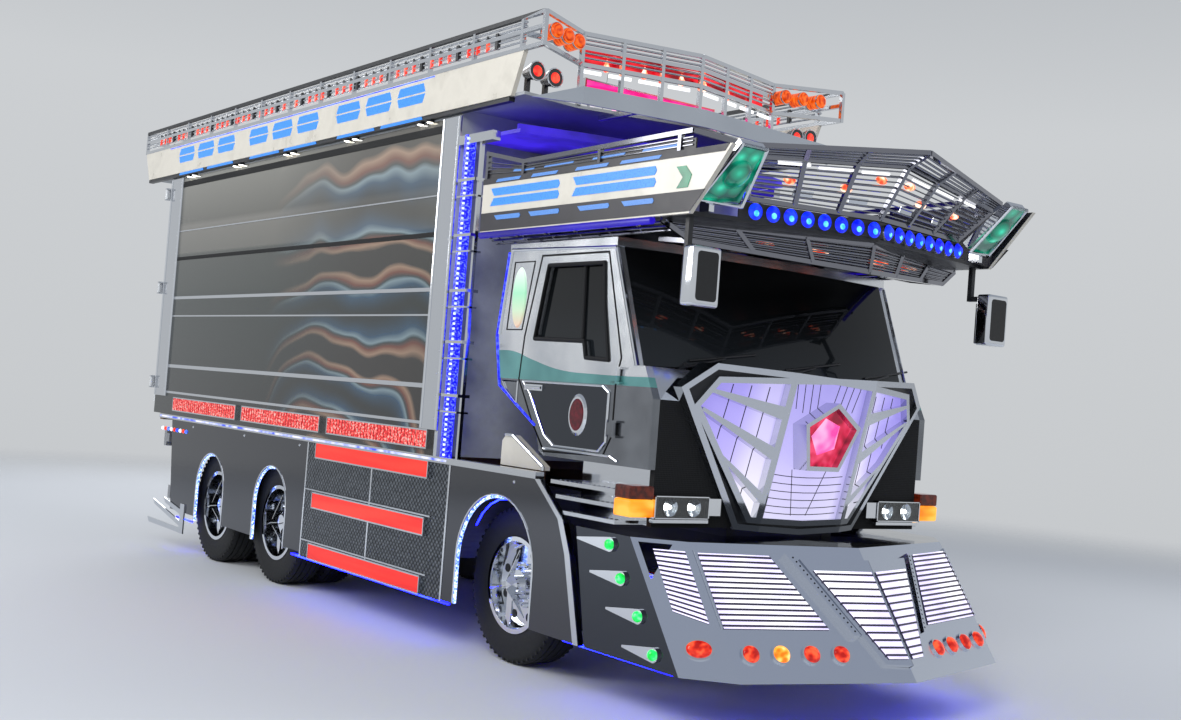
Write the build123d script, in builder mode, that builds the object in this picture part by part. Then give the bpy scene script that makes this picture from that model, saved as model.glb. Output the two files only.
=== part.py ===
from build123d import *
from math import cos, sin, radians
import os

# Decorated three-axle box truck with a tilt-type cab over the engine, in millimetres.
# +Z is up, the truck faces -Y, and +X is its own left side. The origin is on the ground,
# in the middle of the overall length and width.

# Overall layout, measured along the truck from the front axle, ahead minus, behind plus
NOSE_AT = -2287
ROOF_TAIL_AT = 6750
FRONT_Y = -(ROOF_TAIL_AT + NOSE_AT) / 2
WHEELBASE = 3250
TANDEM = 1260

# Wheels and axles
TYRE_R = 480
TYRE_W = 250
TYRE_SHOULDER = 32
RIM_R = 300
BEAD_R = 284
RIM_WALL = 14
FRONT_TYRE_X = 935
REAR_TYRE_X = 1045
TWIN_PITCH = 290
KINGPIN_X = 820
KINGPIN_R = 20
PIN_CLEAR = 0.05
SPINDLE_R = 38
STEER_ARM = 200
TIE_ROD_R = 16
TIE_PIN_R = 10

# Chassis frame
RAIL_X = 350
RAIL_W = 80
RAIL_H = 240
FRAME_TOP = 1040
FRAME_FRONT_AT = -1200
FRAME_TAIL_AT = 5900
CROSS_H = 140
CROSS_L = 90

# Load box
BODY_X = 1245
BOX_FRONT_AT = 730
BOX_TAIL_AT = 6050
BOX_WALL = 40
SILL_H = 110
BEARER_H = 60
FLOOR_T = 45
BOX_TOP = 3480
ROOF_T = 40
PILLAR_W = 230
PILLAR_PROUD = 12
DOOR_SEAM = 6
REAR_DOOR_T = 50
REAR_HINGE_OUT = 40

# Side skirts, side rail and red lamps
SKIRT_T = 30
SKIRT_BOTTOM = 295
SKIRT_TOP = 1170
SKIRT_TAIL_AT = 5410
RAIL_DEPTH = 30
FRONT_ARCH_R = 425
FRONT_ARCH_SHIFT = -35
FRONT_ARCH_TOP = 1037
REAR_ARCH_R = 310
REAR_ARCH_TOP = 930
LAMP_DEPTH = 22
LAMP_H = 105

# Roof crown round the box and over the cab
CROWN_X = 1300
CROWN_BOARD_T = 30
CROWN_DECK_T = 20
CROWN_BOARD_H = 245
CROWN_CAGE_H = 223
CROWN_FRONT_AT = -20
BAR = 26

# Cab
CAB_X = 1120
CAB_WALL = 50
CAB_FLOOR_Z = 1300
CAB_FLOOR_T = 40
CAB_ROOF_Z = 2585
CAB_ROOF_T = 50
CAB_FRONT_AT = -1290
CAB_TAIL_AT = 225
BELT_Z = 1860
SCREEN_T = 8
SCREEN_BULGE = 80
GLASS_T = 6

# Visor deck over the windscreen
DECK_X = 1250
DECK_BOARD_T = 30
DECK_CLEAR = 69
DECK_BOARD_H = 336
DECK_TAIL_AT = 400

# Bumper
BUMPER_X = 1240
BUMPER_BOTTOM = 295
BUMPER_TOP = 945
BUMPER_LEAN = 470
BUMPER_CORNER_X = 1020
BUMPER_CORNER_AT = -2023
BUMPER_SIDE_AT = -1800
BUMPER_TAIL_AT = -1000
BUMPER_WALL = 25
BUMPER_SHEET = 20

# Stations along Y of the axles
MID_Y = FRONT_Y + WHEELBASE
REAR_Y = MID_Y + TANDEM
WHEEL_Z = TYRE_R
FRAME_BOTTOM = FRAME_TOP - RAIL_H
RAIL_OUT = RAIL_X + RAIL_W
SILL_TOP = FRAME_TOP + SILL_H
FLOOR_BOTTOM = SILL_TOP + BEARER_H
FLOOR_TOP = FLOOR_BOTTOM + FLOOR_T
SIDE_RAIL_TOP = FLOOR_BOTTOM
BOX_ROOF_BOTTOM = BOX_TOP - ROOF_T
BOX_FRONT_Y = FRONT_Y + BOX_FRONT_AT
BOX_TAIL_Y = FRONT_Y + BOX_TAIL_AT
CROWN_TAIL_Y = FRONT_Y + ROOF_TAIL_AT
CROWN_BOTTOM = BOX_TOP + CROWN_DECK_T
CROWN_BOARD_TOP = CROWN_BOTTOM + CROWN_BOARD_H
CROWN_TOP = CROWN_BOARD_TOP + CROWN_CAGE_H
DECK_BOTTOM = CAB_ROOF_Z + DECK_CLEAR
DECK_TOP = DECK_BOTTOM + DECK_BOARD_H


def at(station):
    """Y of a place measured from the front axle."""
    return FRONT_Y + station


def stations(points):
    """Outline points (station, z) turned into (y, z)."""
    return [(at(station), z) for station, z in points]


def span(x, y, z, mode=Mode.ADD):
    """Block between a low and a high value along each axis."""
    with Locations(((x[0] + x[1]) / 2, (y[0] + y[1]) / 2, (z[0] + z[1]) / 2)):
        Box(x[1] - x[0], y[1] - y[0], z[1] - z[0], mode=mode)


def side_plate(outline, x_low, x_high, mode=Mode.ADD, grow=0):
    """Plate with a (y, z) outline, from x_low to x_high."""
    with BuildSketch(Plane.YZ.offset(x_low)) as profile:
        with BuildLine():
            Polyline(*outline, close=True)
        make_face()
        if grow:
            offset(amount=grow, kind=Kind.INTERSECTION)
    extrude(profile.sketch, amount=x_high - x_low, mode=mode)


def flat_plate(outline, z_low, z_high, mode=Mode.ADD):
    """Plate with an (x, y) outline, from z_low to z_high."""
    with BuildSketch(Plane.XY.offset(z_low)) as profile:
        with BuildLine():
            Polyline(*outline, close=True)
        make_face()
    extrude(profile.sketch, amount=z_high - z_low, mode=mode)


def face_plate(corners, thick, mode=Mode.ADD):
    """Flat plate through a loop of points in space, thickened behind its face."""
    first, second, last = Vector(*corners[0]), Vector(*corners[1]), Vector(*corners[-1])
    normal = (second - first).cross(last - first).normalized()
    plane = Plane(origin=first, x_dir=second - first, z_dir=normal)
    flat = [plane.to_local_coords(Vector(*corner)) for corner in corners]
    with BuildSketch(plane) as profile:
        with BuildLine():
            Polyline(*[(point.X, point.Y) for point in flat], close=True)
        make_face()
    extrude(profile.sketch, amount=-thick, mode=mode)


def bar(start, end, width=BAR, height=None, mode=Mode.ADD):
    """Square bar along the line between two points."""
    run = Vector(*end) - Vector(*start)
    upright = abs(run.Z) > 0.9 * run.length
    across = Vector(1, 0, 0) if upright else Vector(0, 0, 1).cross(run)
    middle = (Vector(*start) + Vector(*end)) / 2
    with Locations(Plane(origin=middle, x_dir=across, z_dir=run)):
        Box(width, height or width, run.length, mode=mode)


def rod(start, end, radius, mode=Mode.ADD):
    """Round bar along the line between two points."""
    run = Vector(*end) - Vector(*start)
    middle = (Vector(*start) + Vector(*end)) / 2
    with Locations(Plane(origin=middle, z_dir=run)):
        Cylinder(radius, run.length, mode=mode)


def turned(profile, centre):
    """Ring or wheel turned about the X axis through centre, from (x, radius) points."""
    with BuildSketch(Plane(origin=centre, x_dir=(1, 0, 0), z_dir=(0, -1, 0))) as half:
        with BuildLine():
            Polyline(*profile, close=True)
        make_face()
    revolve(half.sketch, axis=Axis(centre, (1, 0, 0)))


def save(piece, name):
    """Label a finished piece and write its STEP file."""
    piece.part.label = name
    export_step(piece.part, f"parts/{name}.step")


os.makedirs("parts", exist_ok=True)
SIDES = (("left", 1), ("right", -1))
ON_FACE = (Align.CENTER, Align.CENTER, Align.MIN)

# Chassis: two box rails with cross members, arms for the bumper and a rear towing eye
TOW_EYE_R = 20
TOW_EYE_T = 30
TOW_EYE_REACH = 60
CROSS_STATIONS = (-1150, 700, 1700, 2600, 3880, 5000, 5850)
BUMPER_ARM_AT = -1680
BUMPER_ARM_TOP = BUMPER_TOP - BUMPER_SHEET - 0.5
BUMPER_ARM_H = 100
with BuildPart() as chassis_frame:
    for side in (1, -1):
        rail = sorted((side * RAIL_X, side * RAIL_OUT))
        span(rail, (at(FRAME_FRONT_AT), at(FRAME_TAIL_AT)), (FRAME_BOTTOM, FRAME_TOP))
    cross_mid = FRAME_BOTTOM + RAIL_H / 2
    for station in CROSS_STATIONS:
        span(
            (-RAIL_X, RAIL_X),
            (at(station) - CROSS_L / 2, at(station) + CROSS_L / 2),
            (cross_mid - CROSS_H / 2, cross_mid + CROSS_H / 2),
        )
    for side in (1, -1):
        span(
            sorted((side * RAIL_X, side * RAIL_OUT)),
            (at(BUMPER_ARM_AT), at(FRAME_FRONT_AT)),
            (BUMPER_ARM_TOP - BUMPER_ARM_H, BUMPER_ARM_TOP),
        )
    tow_mid = at(FRAME_TAIL_AT) + TOW_EYE_REACH
    span(
        (-2 * TOW_EYE_R, 2 * TOW_EYE_R),
        (at(CROSS_STATIONS[-1]), tow_mid),
        (cross_mid - TOW_EYE_T / 2, cross_mid + TOW_EYE_T / 2),
    )
    with Locations((0, tow_mid, cross_mid)):
        Cylinder(2 * TOW_EYE_R, TOW_EYE_T)
        Cylinder(TOW_EYE_R, 2 * TOW_EYE_T, mode=Mode.SUBTRACT)
save(chassis_frame, "chassis_frame")

# Engine and gearbox: plain masses between the rails, on their mounting feet
ENGINE_X = 300
ENGINE_Z = (620, 1230)
ENGINE_AT = (-780, 330)
GEARBOX_X = 170
GEARBOX_Z = (600, 840)
GEARBOX_TAIL_AT = 1050
with BuildPart() as engine_block:
    span((-ENGINE_X, ENGINE_X), (at(ENGINE_AT[0]), at(ENGINE_AT[1])), ENGINE_Z)
    span((-GEARBOX_X, GEARBOX_X), (at(ENGINE_AT[1]), at(GEARBOX_TAIL_AT)), GEARBOX_Z)
    for station in (ENGINE_AT[0] + 150, ENGINE_AT[1] - 150):
        span(
            (-RAIL_X, RAIL_X),
            (at(station) - 50, at(station) + 50),
            (FRAME_BOTTOM + 40, FRAME_BOTTOM + 120),
        )
save(engine_block, "engine_block")

# Tandem axles: tubes with differential bulbs, stub ends for the hubs, and the shafts
AXLE_TUBE_R = 62
DIFF_R = 165
STUB_TIP_X = REAR_TYRE_X + 25
HUB_BACK_X = REAR_TYRE_X - TWIN_PITCH - TYRE_W / 2 + 20
SHAFT_R = 45
with BuildPart() as rear_axles:
    for axle_y in (MID_Y, REAR_Y):
        rod((-HUB_BACK_X + 10, axle_y, WHEEL_Z), (HUB_BACK_X - 10, axle_y, WHEEL_Z), AXLE_TUBE_R)
        rod((-STUB_TIP_X, axle_y, WHEEL_Z), (STUB_TIP_X, axle_y, WHEEL_Z), SPINDLE_R)
        with Locations((0, axle_y, WHEEL_Z)):
            Sphere(DIFF_R)
    rod((0, MID_Y, WHEEL_Z), (0, REAR_Y, WHEEL_Z), SHAFT_R)
    rod(
        (0, at(GEARBOX_TAIL_AT) + SHAFT_R / 5, (GEARBOX_Z[0] + GEARBOX_Z[1]) / 2),
        (0, MID_Y, WHEEL_Z),
        SHAFT_R,
    )
save(rear_axles, "rear_axles")

# Front axle: a dropped beam between two kingpin eyes
BEAM_T = 60
BEAM_W = 80
BEAM_DROP = 75
EYE_R = 42
EYE_H = 80
with BuildPart() as front_axle:
    beam_points = [
        (-KINGPIN_X, WHEEL_Z),
        (-KINGPIN_X + 170, WHEEL_Z - BEAM_DROP),
        (KINGPIN_X - 170, WHEEL_Z - BEAM_DROP),
        (KINGPIN_X, WHEEL_Z),
    ]
    for (x1, z1), (x2, z2) in zip(beam_points, beam_points[1:]):
        bar((x1, FRONT_Y, z1), (x2, FRONT_Y, z2), BEAM_W, BEAM_T)
    for side in (1, -1):
        with Locations((side * KINGPIN_X, FRONT_Y, WHEEL_Z)):
            Box(4 * EYE_R, 4 * EYE_R, 3 * EYE_H, mode=Mode.SUBTRACT)
        with Locations((side * (KINGPIN_X - EYE_R), FRONT_Y, WHEEL_Z - 12)):
            Box(2.2 * EYE_R, BEAM_W, EYE_H - 24)
        with Locations((side * KINGPIN_X, FRONT_Y, WHEEL_Z)):
            Cylinder(EYE_R, EYE_H)
            Cylinder(KINGPIN_R + PIN_CLEAR, 2 * EYE_H, mode=Mode.SUBTRACT)
save(front_axle, "front_axle")

# Leaf springs under the rails, with hangers and axle seats
SPRING_W = 70
SPRING_T = 55
SPRING_REACH = 650
SPRING_EYE_Z = 720
SEAT_CLEAR = 0.3
FRONT_SEAT_Z = WHEEL_Z - BEAM_DROP + BEAM_T / 2
REAR_SEAT_Z = WHEEL_Z + AXLE_TUBE_R
TANDEM_Y = (MID_Y + REAR_Y) / 2
with BuildPart() as leaf_springs:
    spring_x = RAIL_X + RAIL_W / 2
    for side in (1, -1):
        x = side * spring_x
        low = FRONT_SEAT_Z + 60
        for way in (-1, 1):
            end = (x, FRONT_Y + way * SPRING_REACH, SPRING_EYE_Z)
            bar((x, FRONT_Y, low), end, SPRING_W, SPRING_T)
            span(
                (x - SPRING_W / 2, x + SPRING_W / 2),
                (end[1] - 40, end[1] + 40),
                (SPRING_EYE_Z - 20, FRAME_BOTTOM),
            )
        span((x - 45, x + 45), (FRONT_Y - 60, FRONT_Y + 60), (FRONT_SEAT_Z, low + 30))
        saddle_low = REAR_SEAT_Z + 140
        for axle_y in (MID_Y, REAR_Y):
            bar((x, axle_y, REAR_SEAT_Z + 25), (x, TANDEM_Y, saddle_low), SPRING_W, SPRING_T)
            span(
                (x - 45, x + 45),
                (axle_y - 50, axle_y + 50),
                (REAR_SEAT_Z - 25, REAR_SEAT_Z + 55),
            )
        span((x - 45, x + 45), (TANDEM_Y - 90, TANDEM_Y + 90), (saddle_low - 30, FRAME_BOTTOM))
    for axle_y in (MID_Y, REAR_Y):
        rod(
            (-RAIL_OUT - 20, axle_y, WHEEL_Z),
            (RAIL_OUT + 20, axle_y, WHEEL_Z),
            AXLE_TUBE_R + SEAT_CLEAR,
            mode=Mode.SUBTRACT,
        )
save(leaf_springs, "leaf_springs")

# Steering knuckles: two ears round the kingpin, the stub for the hub, and a rear arm
EAR_GAP = 3
EAR_H = 55
WEB_X = KINGPIN_X + 48
WEB_T = 30
ARM_Z = WHEEL_Z - EYE_H / 2 - EAR_GAP - EAR_H / 2
FRONT_STUB_TIP_X = FRONT_TYRE_X + 75
for side_name, side in SIDES:
    with BuildPart() as knuckle:
        kx = side * KINGPIN_X
        for z in (WHEEL_Z + EYE_H / 2 + EAR_GAP + EAR_H / 2, ARM_Z):
            with Locations((kx, FRONT_Y, z)):
                Cylinder(EYE_R, EAR_H)
            span(
                sorted((kx, side * (WEB_X + WEB_T))),
                (FRONT_Y - EYE_R, FRONT_Y + EYE_R),
                (z - EAR_H / 2, z + EAR_H / 2),
            )
        span(
            sorted((side * WEB_X, side * (WEB_X + WEB_T))),
            (FRONT_Y - EYE_R, FRONT_Y + EYE_R),
            (ARM_Z - EAR_H / 2, 2 * WHEEL_Z - ARM_Z + EAR_H / 2),
        )
        with Locations((kx, FRONT_Y, WHEEL_Z)):
            Cylinder(KINGPIN_R, EYE_H + 2 * EAR_GAP + EAR_H)
        rod((side * WEB_X, FRONT_Y, WHEEL_Z), (side * FRONT_STUB_TIP_X, FRONT_Y, WHEEL_Z), SPINDLE_R)
        bar((kx, FRONT_Y, ARM_Z), (kx, FRONT_Y + STEER_ARM, ARM_Z), 36, 40)
        with Locations((kx, FRONT_Y + STEER_ARM, ARM_Z)):
            Cylinder(TIE_PIN_R + 14, 40)
            Cylinder(TIE_PIN_R + PIN_CLEAR, 80, mode=Mode.SUBTRACT)
    save(knuckle, f"knuckle_{side_name}")

# Tie rod: runs between the two rear arms, with a pin up into each arm
TIE_ROD_Z = ARM_Z - 20 - TIE_ROD_R - 4
with BuildPart() as tie_rod:
    tie_y = FRONT_Y + STEER_ARM
    rod((-KINGPIN_X, tie_y, TIE_ROD_Z), (KINGPIN_X, tie_y, TIE_ROD_Z), TIE_ROD_R)
    for side in (1, -1):
        with Locations((side * KINGPIN_X, tie_y, TIE_ROD_Z)):
            Cylinder(TIE_PIN_R + 12, 2 * TIE_ROD_R + 6)
        with Locations((side * KINGPIN_X, tie_y, (TIE_ROD_Z + ARM_Z + 20) / 2)):
            Cylinder(TIE_PIN_R, ARM_Z + 20 - TIE_ROD_Z)
save(tie_rod, "tie_rod")

# Wheels. The tyre and rim profiles are (x from the tyre's middle, radius).
HALF_W = TYRE_W / 2
TYRE_PROFILE = (
    (-HALF_W + 22, BEAD_R),
    (-HALF_W, RIM_R + 60),
    (-HALF_W, TYRE_R - TYRE_SHOULDER),
    (-HALF_W + TYRE_SHOULDER, TYRE_R),
    (HALF_W - TYRE_SHOULDER, TYRE_R),
    (HALF_W, TYRE_R - TYRE_SHOULDER),
    (HALF_W, RIM_R + 60),
    (HALF_W - 22, BEAD_R),
)
HUB_R = 95
DRUM_R = 190
DISC_T = 14
HUB_CAP_R = 62
HUB_CAP_L = 30
BLADE_REACH = 250
BLADE_W = 74
BLADE_T = 10
BLADE_COUNT = 3


def spinner(cap_face, side, axle_y):
    """Three flat pointed blades fixed to the hub cap, standing off the disc."""
    with BuildSketch(Plane(origin=(cap_face, axle_y, WHEEL_Z), z_dir=(side, 0, 0))) as blades:
        Circle(HUB_CAP_R)
        with PolarLocations(0, BLADE_COUNT):
            with BuildLine():
                Polyline(
                    (0, -BLADE_W / 2),
                    (BLADE_REACH * 0.8, -BLADE_W / 2),
                    (BLADE_REACH, 0),
                    (BLADE_REACH * 0.8, BLADE_W / 4),
                    (0, BLADE_W / 4),
                    close=True,
                )
            make_face()
    extrude(blades.sketch, amount=BLADE_T)


def rim_profile(outward, disc_x):
    """Half section of a rim whose disc sits disc_x outboard of the tyre's middle."""
    edge = HALF_W - 8
    return [
        (-edge * outward, BEAD_R - RIM_WALL),
        (-edge * outward, RIM_R - 4),
        ((-edge + 12) * outward, BEAD_R),
        ((edge - 12) * outward, BEAD_R),
        (edge * outward, RIM_R - 4),
        (edge * outward, BEAD_R - RIM_WALL),
        (disc_x + DISC_T * outward, BEAD_R - RIM_WALL - 20),
        (disc_x + DISC_T * outward, HUB_R - 20),
        (disc_x, HUB_R - 20),
        (disc_x, BEAD_R - RIM_WALL - 20),
    ]


# Front wheels: one tyre each, deep disc near the outer face, hub round the knuckle's stub
for side_name, side in SIDES:
    centre = (side * FRONT_TYRE_X, FRONT_Y, WHEEL_Z)
    with BuildPart() as tyre:
        turned(TYRE_PROFILE, centre)
    save(tyre, f"tyre_front_{side_name}")
    with BuildPart() as rim:
        turned(rim_profile(side, side * 30), centre)
        hub_in = side * (WEB_X + WEB_T + 12)
        hub_out = side * (FRONT_STUB_TIP_X + 22)
        rod((hub_in, FRONT_Y, WHEEL_Z), (hub_out, FRONT_Y, WHEEL_Z), HUB_R)
        rod((hub_in, FRONT_Y, WHEEL_Z), (side * (FRONT_TYRE_X + 30), FRONT_Y, WHEEL_Z), DRUM_R)
        cap_out = hub_out + side * HUB_CAP_L
        rod((hub_out, FRONT_Y, WHEEL_Z), (cap_out, FRONT_Y, WHEEL_Z), HUB_CAP_R)
        spinner(cap_out, side, FRONT_Y)
        rod(
            (hub_in - side * 20, FRONT_Y, WHEEL_Z),
            (side * (FRONT_STUB_TIP_X + 2), FRONT_Y, WHEEL_Z),
            SPINDLE_R + PIN_CLEAR,
            mode=Mode.SUBTRACT,
        )
    save(rim, f"rim_front_{side_name}")

# Rear wheels: twin tyres on twin rims that are clamped to one hub
for axle_name, axle_y in (("mid", MID_Y), ("rear", REAR_Y)):
    for side_name, side in SIDES:
        outer = (side * REAR_TYRE_X, axle_y, WHEEL_Z)
        inner = (side * (REAR_TYRE_X - TWIN_PITCH), axle_y, WHEEL_Z)
        seam = side * (REAR_TYRE_X - TWIN_PITCH / 2)
        with BuildPart() as tyre:
            turned(TYRE_PROFILE, outer)
            turned(TYRE_PROFILE, inner)
        save(tyre, f"tyres_{axle_name}_{side_name}")
        with BuildPart() as rim:
            turned(rim_profile(side, -side * TWIN_PITCH / 2), outer)
            turned(rim_profile(-side, side * TWIN_PITCH / 2), inner)
            hub_in = side * HUB_BACK_X
            hub_out = side * (STUB_TIP_X + 22)
            rod((hub_in, axle_y, WHEEL_Z), (hub_out, axle_y, WHEEL_Z), HUB_R)
            rod((hub_in, axle_y, WHEEL_Z), (seam, axle_y, WHEEL_Z), DRUM_R)
            cap_out = hub_out + side * HUB_CAP_L
            rod((hub_out, axle_y, WHEEL_Z), (cap_out, axle_y, WHEEL_Z), HUB_CAP_R)
            spinner(cap_out, side, axle_y)
            rod(
                (hub_in - side * 20, axle_y, WHEEL_Z),
                (side * (STUB_TIP_X + 2), axle_y, WHEEL_Z),
                SPINDLE_R + PIN_CLEAR,
                mode=Mode.SUBTRACT,
            )
        save(rim, f"rims_{axle_name}_{side_name}")

# Tanks and boxes hung between the frame rails and the skirts, behind the cab
TANK_AT = (900, 2300)
TANK_X = (RAIL_OUT, 960)
TANK_Z = (520, 980)
with BuildPart() as tanks:
    for side in (1, -1):
        span(sorted((side * TANK_X[0], side * TANK_X[1])), [at(s) for s in TANK_AT], TANK_Z)
save(tanks, "tanks")

# Box floor: long sills on the frame, cross bearers and the deck boards
BEARER_W = 90
BEARER_COUNT = 10
with BuildPart() as box_floor:
    for side in (1, -1):
        span(
            sorted((side * RAIL_X, side * RAIL_OUT)),
            (BOX_FRONT_Y + 20, BOX_TAIL_Y - 20),
            (FRAME_TOP, SILL_TOP),
        )
    bearer_pitch = (BOX_TAIL_AT - BOX_FRONT_AT - 300) / (BEARER_COUNT - 1)
    for step in range(BEARER_COUNT):
        y = BOX_FRONT_Y + 150 + step * bearer_pitch
        span(
            (SKIRT_T - BODY_X, BODY_X - SKIRT_T),
            (y - BEARER_W / 2, y + BEARER_W / 2),
            (SILL_TOP, FLOOR_BOTTOM),
        )
    span(
        (BOX_WALL - BODY_X, BODY_X - BOX_WALL),
        (BOX_FRONT_Y + BOX_WALL, BOX_TAIL_Y),
        (FLOOR_BOTTOM, FLOOR_TOP),
    )
save(box_floor, "box_floor")

# Box walls and roof
with BuildPart() as box_sides:
    for side in (1, -1):
        span(
            sorted((side * (BODY_X - BOX_WALL), side * BODY_X)),
            (BOX_FRONT_Y + BOX_WALL, BOX_TAIL_Y),
            (FLOOR_BOTTOM, BOX_ROOF_BOTTOM),
        )
save(box_sides, "box_sides")
with BuildPart() as box_front:
    span(
        (-BODY_X, BODY_X),
        (BOX_FRONT_Y, BOX_FRONT_Y + BOX_WALL),
        (FLOOR_BOTTOM, BOX_ROOF_BOTTOM),
    )
save(box_front, "box_front")
with BuildPart() as box_roof:
    span((-BODY_X, BODY_X), (BOX_FRONT_Y, BOX_TAIL_Y), (BOX_ROOF_BOTTOM, BOX_TOP))
save(box_roof, "box_roof")

# Rear doors: two leaves that close on the ends of the walls and fold right round
REAR_HINGE_X = BODY_X + REAR_HINGE_OUT
REAR_HINGE_Y = BOX_TAIL_Y + DOOR_SEAM + REAR_DOOR_T / 2
HINGE_R = 9
HINGE_EAR = 14
HINGE_ZS = (1500, 2400, 3300)
HINGE_H = 90
REAR_DOOR_Z = (FLOOR_TOP + 55, BOX_ROOF_BOTTOM - 10)
for side_name, side in SIDES:
    with BuildPart() as rear_door:
        span(
            sorted((side * DOOR_SEAM / 2, side * (BODY_X - 6))),
            (BOX_TAIL_Y + DOOR_SEAM, BOX_TAIL_Y + DOOR_SEAM + REAR_DOOR_T),
            REAR_DOOR_Z,
        )
        for z in HINGE_ZS:
            span(
                sorted((side * (BODY_X - 60), side * REAR_HINGE_X)),
                (REAR_HINGE_Y - 4, REAR_HINGE_Y + 4),
                (z - HINGE_H / 2, z + HINGE_H / 2),
            )
            with Locations((side * REAR_HINGE_X, REAR_HINGE_Y, z)):
                Cylinder(HINGE_EAR, HINGE_H)
                Cylinder(HINGE_R + PIN_CLEAR, 2 * HINGE_H, mode=Mode.SUBTRACT)
    save(rear_door, f"rear_door_{side_name}")

# Stainless corner posts over the ends of the side walls, with the rear doors' hinge pins
LUG_T = 12
POST_FOOT_Z = 1376
REAR_POST_W = 310
with BuildPart() as box_posts:
    for side in (1, -1):
        for low, high in (
            (BOX_FRONT_Y, BOX_FRONT_Y + PILLAR_W),
            (BOX_TAIL_Y - REAR_POST_W, BOX_TAIL_Y),
        ):
            span(
                sorted((side * BODY_X, side * (BODY_X + PILLAR_PROUD))),
                (low, high),
                (POST_FOOT_Z, BOX_ROOF_BOTTOM),
            )
        for z in HINGE_ZS:
            with Locations((side * REAR_HINGE_X, REAR_HINGE_Y, z)):
                Cylinder(HINGE_R, HINGE_H + 2 * LUG_T)
            for lug_z in (z - HINGE_H / 2 - LUG_T / 2 - 1, z + HINGE_H / 2 + LUG_T / 2 + 1):
                span(
                    sorted((side * (BODY_X + PILLAR_PROUD), side * (REAR_HINGE_X + HINGE_EAR))),
                    (BOX_TAIL_Y + 4, REAR_HINGE_Y + HINGE_EAR),
                    (lug_z - LUG_T / 2, lug_z + LUG_T / 2),
                )
            span(
                sorted((side * (BODY_X + PILLAR_PROUD), side * (BODY_X + PILLAR_PROUD + 6))),
                (BOX_TAIL_Y - 40, BOX_TAIL_Y + 20),
                (z - HINGE_H / 2 - LUG_T - 1, z + HINGE_H / 2 + LUG_T + 1),
            )
save(box_posts, "box_posts")

# Side skirts: plated boards with the three wheel arches cut out
SKIRT_LAMP_AT = (790, 2440)
SKIRT_LAMP_ZS = (1116, 743, 363)
SKIRT_EDGE = ((-960, SKIRT_BOTTOM), (-820, 776), (-730, 964), (-470, SKIRT_TOP))
ARCHES = (
    (FRONT_Y + FRONT_ARCH_SHIFT, FRONT_ARCH_R, FRONT_ARCH_TOP),
    (MID_Y, REAR_ARCH_R, REAR_ARCH_TOP),
    (REAR_Y, REAR_ARCH_R, REAR_ARCH_TOP),
)


def arch_cut(centre_y, radius, top, x_low, x_high):
    """Cut a round-topped wheel arch through the skirt."""
    with BuildSketch(Plane.YZ.offset(x_low)) as arch:
        with Locations((centre_y, top - radius)):
            Circle(radius)
        with Locations((centre_y, (SKIRT_BOTTOM - 50 + top - radius) / 2)):
            Rectangle(2 * radius, top - radius - SKIRT_BOTTOM + 50)
    extrude(arch.sketch, amount=x_high - x_low, mode=Mode.SUBTRACT)


skirt_outline = stations(
    [*SKIRT_EDGE, (SKIRT_TAIL_AT + 130, SKIRT_TOP), (SKIRT_TAIL_AT, SKIRT_BOTTOM + 60)]
)
with BuildPart() as side_skirts:
    for side in (1, -1):
        low, high = sorted((side * (BODY_X - SKIRT_T), side * BODY_X))
        side_plate(skirt_outline, low, high)
        for centre_y, radius, top in ARCHES:
            arch_cut(centre_y, radius, top, low - 5, high + 5)
    for side in (1, -1):
        for station in (600, 2700, 5300):
            span(
                sorted((side * RAIL_OUT, side * (BODY_X - SKIRT_T))),
                (at(station) - 25, at(station) + 25),
                (FRAME_TOP - 80, FRAME_TOP - 30),
            )
save(side_skirts, "side_skirts")

# Side rails: stainless ledge along the top of the skirts, from the tail to the cab step
SIDE_RAIL_AT = (-460, 5800)
LEDGE_AT = (700, 2560)
LEDGE_T = 10
LEDGE_LIFT = 70
EDGE_STRIP_W = 50
EDGE_STRIP_T = 8
FIN_BRACKET = ((5030, 165), (5130, 165), (5130, 430), (5030, 430))
FINS = (((5048, 236), (5790, 381)), ((5072, 345), (5514, 421)), ((5090, 190), (5905, 200)))
FIN_W = 46
FIN_T = 12
edge_strip = [*SKIRT_EDGE, *[(station + EDGE_STRIP_W, z) for station, z in reversed(SKIRT_EDGE)]]
with BuildPart() as side_rails:
    for side in (1, -1):
        span(
            sorted((side * (BODY_X - SKIRT_T), side * (BODY_X + RAIL_DEPTH))),
            [at(s) for s in SIDE_RAIL_AT],
            (SKIRT_TOP, SIDE_RAIL_TOP),
        )
        for z in SKIRT_LAMP_ZS[1:]:
            span(
                sorted((side * BODY_X, side * (BODY_X + RAIL_DEPTH))),
                [at(s) for s in LEDGE_AT],
                (z + LEDGE_LIFT, z + LEDGE_LIFT + LEDGE_T),
            )
        side_plate(stations(edge_strip), *sorted((side * BODY_X, side * (BODY_X + EDGE_STRIP_T))))
        fin_x = sorted((side * BODY_X, side * (BODY_X + FIN_T)))
        side_plate(stations(FIN_BRACKET), *fin_x)
        for root, tip in FINS:
            low, high = (root[0], root[1] - FIN_W / 2), (tip[0], tip[1] - FIN_W / 2)
            top, end = (tip[0] + FIN_W, tip[1] + FIN_W / 2), (root[0], root[1] + FIN_W / 2)
            side_plate(stations([low, high, top, end]), *fin_x)
save(side_rails, "side_rails")

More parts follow.
